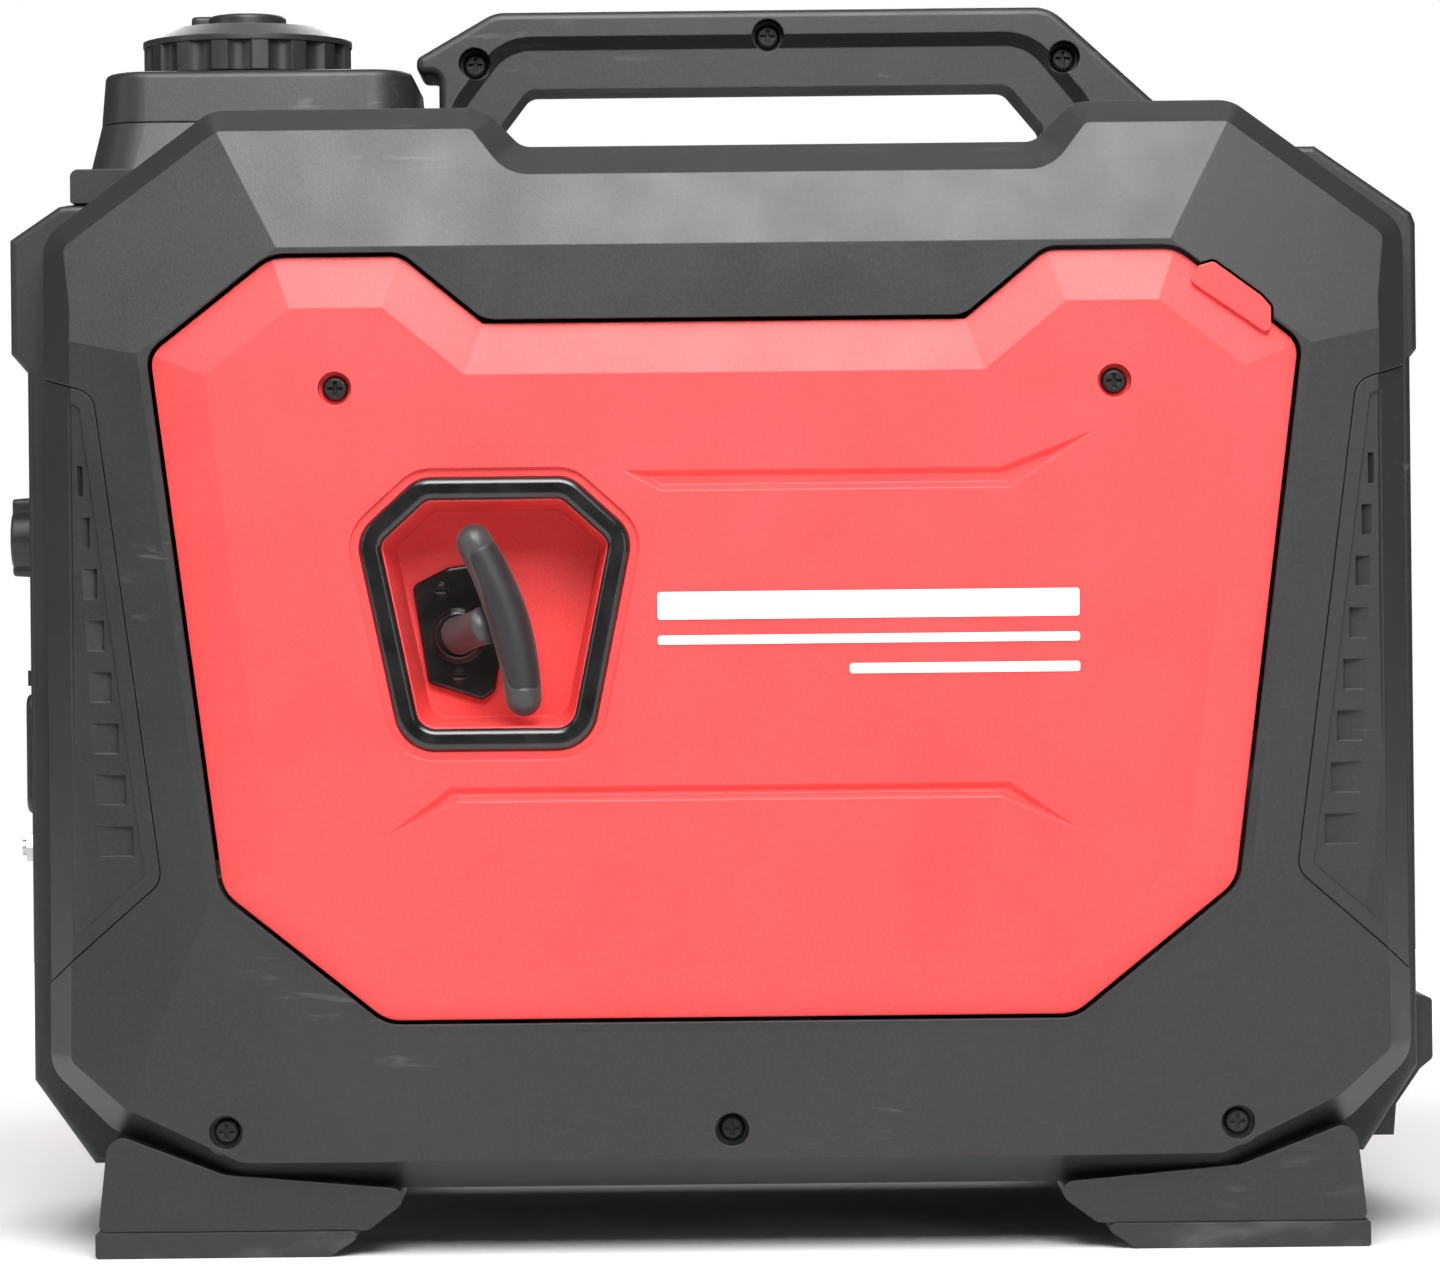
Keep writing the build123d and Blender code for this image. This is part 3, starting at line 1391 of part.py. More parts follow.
neck_low = collar_outline(neck_spread)
neck_high = collar_outline(0.0)
with BuildPart() as top_cover:
    add(slab(rounded_face(deck_points, [1, 1, 3, 3]), -cover_half, cover_half))
    add(upright(neck_low, deck_z - 1.0, neck_high, collar_foot_z - fit_gap))
    inner_deck = grown(polygon_face(deck_points), -cover_wall)
    inner_half = cover_half - cover_wall
    add(slab(inner_deck, -inner_half, inner_half), mode=Mode.SUBTRACT)
    add(slab(inner_deck.moved(Pos(0, -cover_wall * 1.5, 0)), -inner_half, inner_half), mode=Mode.SUBTRACT)
    with BuildSketch(Plane.XY.offset(deck_z - cover_wall - 1.0)):
        add(collar_outline(-cover_wall))
    extrude(amount=collar_foot_z - deck_z, mode=Mode.SUBTRACT)
    with BuildSketch(Plane.XY.offset(deck_under)):
        with Locations((cap_x, 0)):
            Circle(filler_radius + 1.0)
    extrude(amount=collar_foot_z - deck_under, mode=Mode.SUBTRACT)
write(top_cover.part, "top_cover")

with BuildPart() as fuel_collar:
    with BuildSketch(Plane.XY.offset(collar_foot_z)):
        add(neck_high)
    extrude(amount=collar_top_z - collar_foot_z, taper=5)
    fillet(fuel_collar.faces().sort_by(Axis.Z)[-1].edges(), 3.0)
    with BuildSketch(Plane.XY.offset(collar_foot_z)):
        with Locations((cap_x, 0)):
            Circle(filler_radius + 1.0)
    extrude(amount=collar_top_z - collar_foot_z, mode=Mode.SUBTRACT)
write(fuel_collar.part, "fuel_collar")

tank_top = deck_under - 3.0
tank_low = tank_top - tank_height
tank_front = cap_x - 30.0
with BuildPart() as fuel_tank:
    with BuildSketch(Plane.XY.offset(tank_low)):
        with Locations(((tank_front + tank_rear) / 2, 0)):
            RectangleRounded(tank_rear - tank_front, tank_width, 20.0)
    extrude(amount=tank_height)
    fillet(fuel_tank.faces().sort_by(Axis.Z)[-1].edges(), 6.0)
    with BuildSketch(Plane.XY.offset(tank_top - 1.0)):
        with Locations((cap_x, 0)):
            Circle(filler_radius)
    extrude(amount=neck_top - tank_top + 1.0)
    with BuildSketch(Plane.XY.offset(tank_low + tank_wall)):
        with Locations(((tank_front + tank_rear) / 2, 0)):
            RectangleRounded(tank_rear - tank_front - 2 * tank_wall, tank_width - 2 * tank_wall, 16.0)
    extrude(amount=tank_height - 2 * tank_wall, mode=Mode.SUBTRACT)
    with BuildSketch(Plane.XY.offset(tank_low + tank_wall)):
        with Locations((cap_x, 0)):
            Circle(filler_radius - tank_wall)
    extrude(amount=neck_top - tank_low, mode=Mode.SUBTRACT)
write(fuel_tank.part, "fuel_tank")

# ---------------------------------------------------------------- fuel cap
core_seat = neck_top + fit_gap
core_top = core_seat + 2.6
with BuildPart() as fuel_cap_core:
    with BuildSketch(Plane.XY.offset(neck_top - 18.0)):
        with Locations((cap_x, 0)):
            Circle(filler_radius - tank_wall - moving_gap)
    extrude(amount=core_top - neck_top + 18.0)
    with BuildSketch(Plane.XY.offset(core_seat)):
        with Locations((cap_x, 0)):
            Circle(filler_radius + 3.0)
    extrude(amount=core_top - core_seat)
write(fuel_cap_core.part, "fuel_cap_core")

with BuildPart() as fuel_cap:
    with BuildSketch(Plane.XY.offset(cap_base_z)):
        with Locations((cap_x, 0)):
            Circle(cap_radius)
            with PolarLocations(cap_radius + scallop_radius - scallop_depth, scallop_count):
                Circle(scallop_radius, mode=Mode.SUBTRACT)
    extrude(amount=cap_skirt_z - cap_base_z)
    with BuildSketch(Plane.XY.offset(cap_skirt_z - 2.2)):
        with Locations((cap_x, 0)):
            Circle(cap_radius + 0.4)
    extrude(amount=2.2)
    with BuildSketch(Plane.XY.offset(cap_skirt_z)):
        with Locations((cap_x, 0)):
            Circle(cap_radius - 0.6)
    extrude(amount=cap_crown_z - cap_skirt_z, taper=62)
    with BuildSketch(Plane.XY.offset(cap_base_z)):
        with Locations((cap_x, 0)):
            Circle(filler_radius + 6.0)
    extrude(amount=core_top + moving_gap - cap_base_z, mode=Mode.SUBTRACT)
    with BuildSketch(Plane.XY.offset(cap_base_z)):
        with Locations((cap_x, 0)):
            Circle(vent_stem_radius + running_gap)
    extrude(amount=cap_crown_z - cap_base_z, mode=Mode.SUBTRACT)
write(fuel_cap.part, "fuel_cap")

with BuildPart() as vent_knob:
    with BuildSketch(Plane.XY.offset(cap_crown_z + moving_gap)):
        with Locations((cap_x, 0)):
            Circle(knob_radius)
        with Locations((cap_x - knob_radius - 1.5, 0)):
            RectangleRounded(10.0, 8.0, 2.5)
    extrude(amount=height - cap_crown_z - moving_gap)
    fillet(vent_knob.faces().sort_by(Axis.Z)[-1].edges(), 1.6)
    with BuildSketch(Plane.XY.offset(core_top + 1.0)):
        with Locations((cap_x, 0)):
            Circle(vent_stem_radius)
    extrude(amount=cap_crown_z + moving_gap - core_top - 1.0)
write(vent_knob.part, "vent_knob")

# ---------------------------------------------------------------- carrying handle
handle_foot = deck_z + fit_gap
handle_points = [
    (handle_right + 3.4, handle_foot),
    (handle_right + 63.0, handle_foot),
    (handle_right + 48.0, handle_under - 9.0),
    (handle_right + 6.0, handle_top),
    (handle_left - 8.0, handle_top),
    (handle_left - 38.0, collar_top_z + 7.0),
    (handle_left - 38.0, collar_top_z + 0.6),
    (handle_left - 29.5, collar_top_z + 0.6),
    (handle_left - 29.5, handle_foot),
    (handle_left - 6.0, handle_foot),
    (handle_left - 6.0, handle_under - 13.7),
    (handle_left + 4.5, handle_under),
    (handle_right - 10.0, handle_under),
    (handle_right + 3.4, handle_under - 16.1),
]
handle_face = rounded_face(handle_points, [2, 2, 10, 16, 14, 3.2, 3.2, 3.2, 2, 2, 4, 6, 6, 4])
gap_points = handle_points[9:] + handle_points[:1]
handle_gap = rounded_face(gap_points, 3.0)
handle_screw_spots = [
    (handle_left - 15.7, handle_under + 9.9),
    ((handle_left + handle_right) / 2 - 2.6, handle_under + 19.8),
    (handle_right + 11.4, handle_under + 10.2),
]


def handle_half_shell(with_wells):
    """One moulded half of the handle, with posts for the screws that join the halves."""
    with BuildPart() as half:
        add(slab(handle_face, handle_seam, handle_half))
        fillet(half.faces().sort_by(Axis.Y)[0].edges(), 3.0)
        with BuildSketch(Plane.XZ.offset(handle_half - handle_inner_inset)):
            add(grown(handle_gap, handle_band))
        extrude(amount=handle_inner_inset, taper=-48, mode=Mode.SUBTRACT)
        hollow_depth = handle_half - handle_inner_inset - handle_wall
        add(slab(grown(handle_face, -handle_wall), 0, hollow_depth), mode=Mode.SUBTRACT)
        with BuildSketch(Plane.XZ.offset(handle_seam)):
            with Locations(*handle_screw_spots):
                Circle(screw_well_radius + 1.6)
        extrude(amount=handle_half - handle_inner_inset - handle_seam - 0.5)
        with BuildSketch(Plane.XZ.offset(handle_seam)):
            with Locations(*handle_screw_spots):
                Circle(screw_shank_radius)
        extrude(amount=handle_half - handle_wall - handle_seam - 6.0, mode=Mode.SUBTRACT)
        if with_wells:
            with BuildSketch(Plane.XZ.offset(handle_screw_seat)):
                with Locations(*handle_screw_spots):
                    Circle(screw_well_radius)
            extrude(amount=handle_half - handle_screw_seat, mode=Mode.SUBTRACT)
    return half.part


write(handle_half_shell(True), "handle_shell_left")
write(handle_half_shell(False).mirror(Plane.XZ), "handle_shell_right")
write(screw_group(handle_screw_spots, handle_screw_seat), "handle_screws")

# ---------------------------------------------------------------- base, feet and inverter
with BuildPart() as base_pan:
    with BuildSketch(Plane.XY.offset(pan_low)):
        RectangleRounded(2 * pan_half_x, 2 * cover_half, 6.0)
    extrude(amount=pan_wall)
    with BuildSketch(Plane.XY.offset(pan_low)):
        with GridLocations(0, 2 * cover_half - pan_wall, 1, 2):
            Rectangle(2 * pan_half_x - 60.0, pan_wall)
    extrude(amount=pan_lip)
    with BuildSketch(Plane.XY.offset(pan_low)):
        with GridLocations(case_width - 24.0, case_depth + case_front - 20.0, 2, 2):
            with Locations((crank_x, (case_depth - case_front) / 2)):
                Circle(14.0)
    extrude(amount=mount_foot - pan_low)
write(base_pan.part, "base_pan")

pad_points = [
    (foot_inner + 14.0, 0.0),
    (foot_outer + pad_inset, 0.0),
    (foot_outer + pad_inset, pad_height - pad_gap),
    (foot_inner, pad_height - pad_gap),
]
pad_face = rounded_face(pad_points, [2, 1.5, 1, 2])
with BuildPart() as foot_pads:
    for pad in (pad_face, pad_face.mirror(Plane.YZ)):
        add(slab(pad, foot_back, foot_face + pad_proud))
        add(slab(pad, -foot_face - pad_proud, -foot_back))
write(foot_pads.part, "foot_pads")

module_front = hood_x - cover_depth - 3.0
with BuildPart() as inverter_module:
    with BuildSketch(Plane.XY.offset(mount_foot + 4.0)):
        with Locations((module_length / 2 - module_front, 0)):
            RectangleRounded(module_length, module_width, 3.0)
    extrude(amount=module_height)
    with BuildSketch(Plane.XY.offset(mount_foot + 4.0)):
        with Locations((module_length - module_front - 7.0, 0)):
            with GridLocations(0, 9.0, 1, 15):
                Rectangle(14.0, 5.0)
    extrude(amount=module_height, mode=Mode.SUBTRACT)
write(inverter_module.part, "inverter_module")
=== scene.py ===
"""Looks of the inverter generator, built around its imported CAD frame. Metres, seconds and watts.

+X runs from the control panel end to the exhaust end, -Y faces the starter side and +Z is up.
"""

import json
from math import atan2, cos, pi, radians, sin, sqrt

import bpy
from mathutils import Euler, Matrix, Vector


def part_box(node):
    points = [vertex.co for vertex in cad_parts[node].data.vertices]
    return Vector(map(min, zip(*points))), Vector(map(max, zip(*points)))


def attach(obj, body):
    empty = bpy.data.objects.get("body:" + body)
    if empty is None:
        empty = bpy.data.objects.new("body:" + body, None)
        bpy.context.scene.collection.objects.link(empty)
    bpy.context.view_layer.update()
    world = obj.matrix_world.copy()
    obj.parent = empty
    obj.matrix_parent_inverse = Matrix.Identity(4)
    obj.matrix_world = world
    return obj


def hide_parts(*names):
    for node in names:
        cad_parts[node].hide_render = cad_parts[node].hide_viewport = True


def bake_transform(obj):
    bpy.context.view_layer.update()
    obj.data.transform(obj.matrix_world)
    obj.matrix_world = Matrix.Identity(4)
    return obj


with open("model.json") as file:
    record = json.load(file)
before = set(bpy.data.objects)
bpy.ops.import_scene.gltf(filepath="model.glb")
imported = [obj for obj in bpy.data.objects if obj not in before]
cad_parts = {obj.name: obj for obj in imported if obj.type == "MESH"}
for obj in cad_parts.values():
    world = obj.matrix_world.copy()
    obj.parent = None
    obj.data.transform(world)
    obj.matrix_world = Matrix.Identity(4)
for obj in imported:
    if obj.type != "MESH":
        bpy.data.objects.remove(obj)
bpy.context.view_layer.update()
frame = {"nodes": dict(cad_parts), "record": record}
nodes = frame["nodes"]

# ---------------------------------------------------------------- camera and studio
CAMERA_PLACE = (-0.0133, -2.155, 0.2293)
CAMERA_ROLL = 0.6
CAMERA_LENS = 138.9
CAMERA_SENSOR = 36.0
CAMERA_SHIFT = (0.0208, -0.0104)
FLOOR_RADIUS = 1.7
FLOOR_SIDES = 64
# painted glow of the floor: emission starts at this distance from the middle and reaches this strength at
# the rim
FLOOR_PAINTED_GLOW_FROM = 0.5
FLOOR_PAINTED_GLOW = 0.8
BACKGROUND_STRENGTH = 1.0
SURROUND_STRENGTH = 0.12

# name: place, aim, width, depth, watts, spread in degrees
SOFTBOXES = {
    "key_softbox": ((0.05, -1.35, 1.2), (0.0, 0.0, 0.35), 0.9, 0.75, 10.8, 110.0),
    "top_softbox": ((0.0, -0.75, 1.55), (0.0, 0.1, 0.3), 1.8, 0.8, 8.0, 110.0),
    "left_strip": ((-2.2, -0.9, 1.0), (0.0, 0.0, 0.25), 0.5, 1.8, 2.6, 110.0),
    "right_strip": ((1.3, -2.4, 0.40), (0.0, 0.0, 0.3), 0.3, 1.0, 1.5, 110.0),
    "back_softbox": ((0.0, 2.4, 1.6), (0.0, 0.0, 0.25), 2.0, 1.2, 44.0, 180.0),
}


def make_camera():
    """Camera square on to the starter side, a little left of the middle and very slightly rolled."""
    data = bpy.data.cameras.new("view_camera")
    data.lens = CAMERA_LENS
    data.sensor_width = CAMERA_SENSOR
    data.shift_x, data.shift_y = CAMERA_SHIFT
    data.dof.use_dof = False
    camera = bpy.data.objects.new("view_camera", data)
    camera.location = CAMERA_PLACE
    camera.rotation_euler = Euler((radians(90.0), radians(CAMERA_ROLL), 0.0), "XYZ")
    bpy.context.scene.collection.objects.link(camera)
    bpy.context.scene.camera = camera


def make_softbox(name, place, aim, width, depth, watts, spread):
    """One rectangular soft light that looks at the object."""
    data = bpy.data.lights.new(name, "AREA")
    data.shape = "RECTANGLE"
    data.size = width
    data.size_y = depth
    data.energy = watts
    data.spread = radians(spread)
    lamp = bpy.data.objects.new(name, data)
    lamp.location = place
    lamp.rotation_mode = "QUATERNION"
    lamp.rotation_quaternion = (Vector(aim) - Vector(place)).to_track_quat("-Z", "Y")
    bpy.context.scene.collection.objects.link(lamp)


def make_world():
    """Even white surroundings: the backdrop is fully white, the light it sends back is dimmer."""
    world = bpy.data.worlds.new("studio")
    bpy.context.scene.world = world
    world.use_nodes = True
    tree = world.node_tree
    background = tree.nodes["Background"]
    background.inputs["Color"].default_value = (1.0, 1.0, 1.0, 1.0)
    strength = tree.nodes.new("ShaderNodeMapRange")
    strength.inputs["To Min"].default_value = SURROUND_STRENGTH
    strength.inputs["To Max"].default_value = BACKGROUND_STRENGTH
    tree.links.new(tree.nodes.new("ShaderNodeLightPath").outputs["Is Camera Ray"], strength.inputs["Value"])
    tree.links.new(strength.outputs["Result"], background.inputs["Strength"])


def new_object(name, points, faces, smooth=True):
    """Mesh object from points and faces, linked to the scene."""
    mesh = bpy.data.meshes.new(name)
    mesh.from_pydata(points, [], faces)
    mesh.update()
    if smooth:
        mesh.polygons.foreach_set("use_smooth", [True] * len(mesh.polygons))
    made = bpy.data.objects.new(name, mesh)
    bpy.context.scene.collection.objects.link(made)
    return made


def skin(rings, sides):
    """Faces between closed rings of points that follow each other."""
    faces = []
    for ring in range(rings - 1):
        for side in range(sides):
            here = ring * sides + side
            beside = ring * sides + (side + 1) % sides
            faces.append((here, beside, beside + sides, here + sides))
    return faces


# ---------------------------------------------------------------- materials
# the middle range of a noise texture, where most of its values lie
NOISE_LOW = 0.3
NOISE_HIGH = 0.7
BEVEL_SAMPLES = 4
# cosine between the real and the rounded normal: flat skin, and an edge at full wear
EDGE_FLAT = 0.99
EDGE_FULL = 0.78
PLASTIC_EDGE = 0.0007
GLOSS_EDGE = 0.0013
GLOSS_SWIRL = 0.05
SCUFF_COLOUR = (0.36, 0.36, 0.36)
HEAT_COLOUR = (0.16, 0.09, 0.05)


class Surface:
    """Procedural material: its colour, roughness and relief come from noise in object space."""

    def __init__(self, name, **sockets):
        self.material = bpy.data.materials.new(name)
        self.material.use_nodes = True
        self.tree = self.material.node_tree
        self.shader = self.tree.nodes["Principled BSDF"]
        for socket, value in sockets.items():
            self.shader.inputs[socket.replace("_", " ")].default_value = value
        self.place = self.add("ShaderNodeTexCoord").outputs["Object"]
        self.relief = None

    def add(self, kind, **values):
        node = self.tree.nodes.new(kind)
        for name, value in values.items():
            setattr(node, name, value)
        return node

    def feed(self, node, socket, value):
        """Links a socket to a value that is another socket, or sets it when it is a number or colour."""
        if isinstance(value, bpy.types.NodeSocket):
            self.tree.links.new(value, node.inputs[socket])
        else:
            node.inputs[socket].default_value = value

    def stretched(self, scale):
        """Object coordinates squeezed along each axis."""
        mapping = self.add("ShaderNodeMapping")
        self.feed(mapping, "Vector", self.place)
        mapping.inputs["Scale"].default_value = scale
        return mapping.outputs["Vector"]

    def noise(self, size, detail=2.0, place=None, distortion=0.0):
        """Noise from 0 to 1 whose features are about size metres across."""
        node = self.add("ShaderNodeTexNoise")
        self.feed(node, "Vector", place or self.place)
        self.feed(node, "Scale", 1.0 / size)
        self.feed(node, "Detail", detail)
        self.feed(node, "Distortion", distortion)
        return node.outputs[0]

    def cells(self, size):
        """Distance to the nearest point of a cell pattern."""
        node = self.add("ShaderNodeTexVoronoi", feature="F1")
        self.feed(node, "Vector", self.place)
        self.feed(node, "Scale", 1.0 / size)
        return node.outputs["Distance"]

    def span(self, value, low, high, new_low, new_high):
        """The value's range from low to high moved to a new range, and held at its ends."""
        node = self.add("ShaderNodeMapRange")
        sockets = {"From Min": low, "From Max": high, "To Min": new_low, "To Max": new_high}
        for socket, number in sockets.items():
            self.feed(node, socket, number)
        self.feed(node, "Value", value)
        return node.outputs["Result"]

    def varied(self, noise, low, high):
        """Noise moved to the range from low to high, with its rare ends held."""
        return self.span(noise, NOISE_LOW, NOISE_HIGH, low, high)

    def maths(self, operation, first, second):
        node = self.add("ShaderNodeMath", operation=operation)
        self.feed(node, 0, first)
        self.feed(node, 1, second)
        return node.outputs[0]

    def mixed(self, share, first, second):
        """Colour between two colours."""
        node = self.add("ShaderNodeMix", data_type="RGBA")
        self.feed(node, 0, share)
        for socket, colour in ((6, first), (7, second)):
            self.feed(node, socket, colour if isinstance(colour, bpy.types.NodeSocket) else (*colour, 1.0))
        return node.outputs[2]

    def edge(self, radius):
        """0 on flat skin and towards 1 on an edge, within radius of it."""
        bevel = self.add("ShaderNodeBevel", samples=BEVEL_SAMPLES)
        self.feed(bevel, "Radius", radius)
        dot = self.add("ShaderNodeVectorMath", operation="DOT_PRODUCT")
        self.tree.links.new(bevel.outputs["Normal"], dot.inputs[0])
        self.tree.links.new(self.add("ShaderNodeNewGeometry").outputs["Normal"], dot.inputs[1])
        return self.span(dot.outputs["Value"], EDGE_FLAT, EDGE_FULL, 0.0, 1.0)

    def soften(self, radius):
        """Rounds every sharp edge in the shading."""
        bevel = self.add("ShaderNodeBevel", samples=BEVEL_SAMPLES)
        self.feed(bevel, "Radius", radius)
        self.relief = bevel.outputs["Normal"]
        self.feed(self.shader, "Normal", self.relief)

    def bump(self, height, depth, strength):
        """Adds relief of a depth in metres on top of what is there."""
        node = self.add("ShaderNodeBump")
        self.feed(node, "Strength", strength)
        self.feed(node, "Distance", depth)
        self.feed(node, "Height", height)
        if self.relief is not None:
            self.feed(node, "Normal", self.relief)
        self.relief = node.outputs["Normal"]
        self.feed(self.shader, "Normal", self.relief)

    def colour(self, value):
        self.feed(self.shader, "Base Color", value)

    def roughness(self, value):
        self.feed(self.shader, "Roughness", value)


def moulded_plastic(name, dark, light, rough, grain_size, grain_depth, scuff=0.0):
    """Injection moulded plastic: spark-eroded grain, cloudy tone, rubbed edges and faint scuffs."""
    surface = Surface(name)
    surface.soften(PLASTIC_EDGE)
    cloud = surface.noise(0.09, 3.0)
    tone = surface.mixed(surface.varied(cloud, 0.0, 1.0), dark, light)
    speck = surface.span(surface.noise(grain_size * 1.6, 1.0), 0.35, 0.75, 0.0, 0.35)
    paler = tuple(min(1.0, channel * 1.5 + 0.006) for channel in light)
    tone = surface.mixed(speck, tone, paler)
    edge = surface.edge(0.0011)
    rubs = surface.span(surface.noise(0.02, 3.0), 0.4, 0.7, 0.1, 0.5)
    worn = surface.maths("MULTIPLY", edge, rubs)
    rubbed = tuple(min(1.0, channel * 1.9 + 0.012) for channel in light)
    tone = surface.mixed(worn, tone, rubbed)
    shine = surface.varied(surface.noise(0.03, 4.0), rough - 0.04, rough + 0.05)
    if scuff:
        streaks = surface.noise(0.004, 2.0, surface.stretched((0.18, 1.0, 1.0)), 0.6)
        patch = surface.span(surface.noise(0.075, 2.0), 0.56, 0.72, 0.0, 1.0)
        marks = surface.maths("MULTIPLY", surface.span(streaks, 0.62, 0.75, 0.0, scuff), patch)
        tone = surface.mixed(marks, tone, SCUFF_COLOUR)
    surface.colour(tone)
    surface.roughness(shine)
    surface.bump(surface.noise(grain_size, 2.0), grain_depth, 0.6)
    return surface.material


def gloss_plastic(name, colour, rough):
    """Polished moulded plastic with faint wiping marks and a slow waviness."""
    surface = Surface(name, Coat_Weight=0.5, Coat_Roughness=0.05)
    surface.soften(GLOSS_EDGE)
    haze = surface.span(surface.noise(0.012, 4.0, distortion=0.4), 0.35, 0.75, 0.0, 1.0)
    greyer = tuple(channel + GLOSS_SWIRL * 0.25 for channel in colour)
    surface.colour(surface.mixed(haze, colour, greyer))
    surface.roughness(surface.span(haze, 0.0, 1.0, rough, rough + GLOSS_SWIRL))
    surface.bump(surface.noise(0.03, 1.0), 0.0002, 0.35)
    return surface.material


def rubber(name, dark, light, rough, grain_depth=0.00006):
    """Moulded rubber: dull, finely stippled, with dusty paler rubs."""
    surface = Surface(name, Sheen_Weight=0.12, Sheen_Roughness=0.5)
    surface.soften(0.0009)
    smears = surface.noise(0.018, 4.0, surface.stretched((0.5, 1.0, 1.4)))
    dust = surface.span(smears, 0.5, 0.75, 0.0, 1.0)
    surface.colour(surface.mixed(dust, dark, light))
    surface.roughness(surface.varied(surface.noise(0.01, 3.0), rough - 0.06, rough + 0.06))
    surface.bump(surface.noise(0.0007, 2.0), grain_depth, 0.7)
    return surface.material


def steel(name, dark, light, rough, brush=(1.0, 1.0, 1.0), metallic=1.0, stain=0.0):
    """Plated or bare metal with brush lines, blotches and optional heat stain."""
    surface = Surface(name, Metallic=metallic)
    surface.soften(0.0004)
    blotch = surface.varied(surface.noise(0.015, 4.0), 0.0, 1.0)
    tone = surface.mixed(blotch, dark, light)
    if stain:
        heat = surface.span(surface.noise(0.045, 3.0, distortion=0.5), 0.45, 0.7, 0.0, stain)
        tone = surface.mixed(heat, tone, HEAT_COLOUR)
    surface.colour(tone)
    lines = surface.noise(0.0006, 2.0, surface.stretched(brush))
    surface.roughness(surface.varied(lines, rough - 0.07, rough + 0.1))
    surface.bump(lines, 0.00003, 0.5)
    return surface.material


def cast_metal(name):
    """Sand-blasted aluminium casting."""
    surface = Surface(name, Metallic=1.0)
    surface.soften(0.0008)
    surface.colour(surface.mixed(surface.noise(0.02, 4.0), (0.42, 0.42, 0.43), (0.62, 0.62, 0.62)))
    surface.roughness(surface.varied(surface.noise(0.004, 3.0), 0.42, 0.6))
    surface.bump(surface.noise(0.0011, 3.0), 0.00018, 0.8)
    return surface.material


def copper_stack():
    """Varnished windings on an iron stack: fine wire lines under amber varnish."""
    surface = Surface("copper_stack_finish", Metallic=0.75, Coat_Weight=0.5, Coat_Roughness=0.2)
    wires = surface.add("ShaderNodeTexWave", wave_type="BANDS", bands_direction="DIAGONAL")
    surface.feed(wires, "Vector", surface.place)
    surface.feed(wires, "Scale", 420.0)
    surface.colour(surface.mixed(wires.outputs[1], (0.23, 0.11, 0.05), (0.55, 0.29, 0.13)))
    surface.roughness(surface.span(wires.outputs[1], 0.0, 1.0, 0.28, 0.45))
    surface.bump(wires.outputs[1], 0.0003, 0.6)
    return surface.material


def braided_rope():
    """Braided polyester cord: crossing strands with pale flecks."""
    surface = Surface("rope_finish", Sheen_Weight=0.4, Sheen_Roughness=0.6)
    fleck = surface.span(surface.noise(0.0012, 2.0), 0.55, 0.68, 0.0, 1.0)
    surface.colour(surface.mixed(fleck, (0.018, 0.018, 0.019), (0.10, 0.10, 0.10)))
    surface.roughness(surface.varied(surface.noise(0.002, 2.0), 0.7, 0.85))
    surface.bump(surface.cells(0.0006), 0.0002, 0.8)
    return surface.material


def glazed_ceramic():
    """Spark plug insulator: white glaze with a faint grey cast."""
    surface = Surface("ceramic_finish", Coat_Weight=0.6, Coat_Roughness=0.05)
    surface.colour(surface.mixed(surface.noise(0.006, 3.0), (0.72, 0.71, 0.67), (0.86, 0.85, 0.82)))
    surface.roughness(surface.varied(surface.noise(0.003, 2.0), 0.15, 0.25))
    return surface.material


def lamp_lens():
    """Small tinted diffuser of an indicator lamp."""
    surface = Surface("lens_finish", Coat_Weight=0.7, Coat_Roughness=0.05, Transmission_Weight=0.25)
    surface.colour(surface.mixed(surface.noise(0.002, 2.0), (0.10, 0.55, 0.16), (0.16, 0.72, 0.24)))
    surface.roughness(surface.varied(surface.noise(0.001, 2.0), 0.12, 0.25))
    return surface.material


def printed_white():
    """Pad-printed white ink, slightly thin in places."""
    surface = Surface("print_finish")
    thin = surface.span(surface.noise(0.0016, 3.0), 0.3, 0.75, 0.0, 0.16)
    surface.colour(surface.mixed(thin, (0.93, 0.92, 0.92), (0.92, 0.42, 0.41)))
    surface.roughness(surface.varied(surface.noise(0.004, 2.0), 0.32, 0.42))
    surface.bump(surface.noise(0.0008, 2.0), 0.00002, 0.5)
    return surface.material


def studio_floor():
    """Seamless pale paper with a painted glow that rises towards its far edge, up to the white of the
    backdrop.
    """
    surface = Surface("floor_paper")
    surface.colour(surface.mixed(surface.noise(0.6, 2.0), (0.93, 0.93, 0.93), (0.95, 0.95, 0.95)))
    surface.roughness(surface.varied(surface.noise(0.2, 2.0), 0.85, 0.95))
    reach = surface.add("ShaderNodeVectorMath", operation="LENGTH")
    surface.feed(reach, 0, surface.place)
    # painted glow: the floor emits light that rises with distance from its middle, so its far edge fades
    # into the white backdrop
    painted_glow = surface.span(reach.outputs["Value"], FLOOR_PAINTED_GLOW_FROM, FLOOR_RADIUS, 0.0, FLOOR_PAINTED_GLOW)
    surface.feed(surface.shader, "Emission Color", (1.0, 1.0, 1.0, 1.0))
    surface.feed(surface.shader, "Emission Strength", painted_glow)
    return surface.material


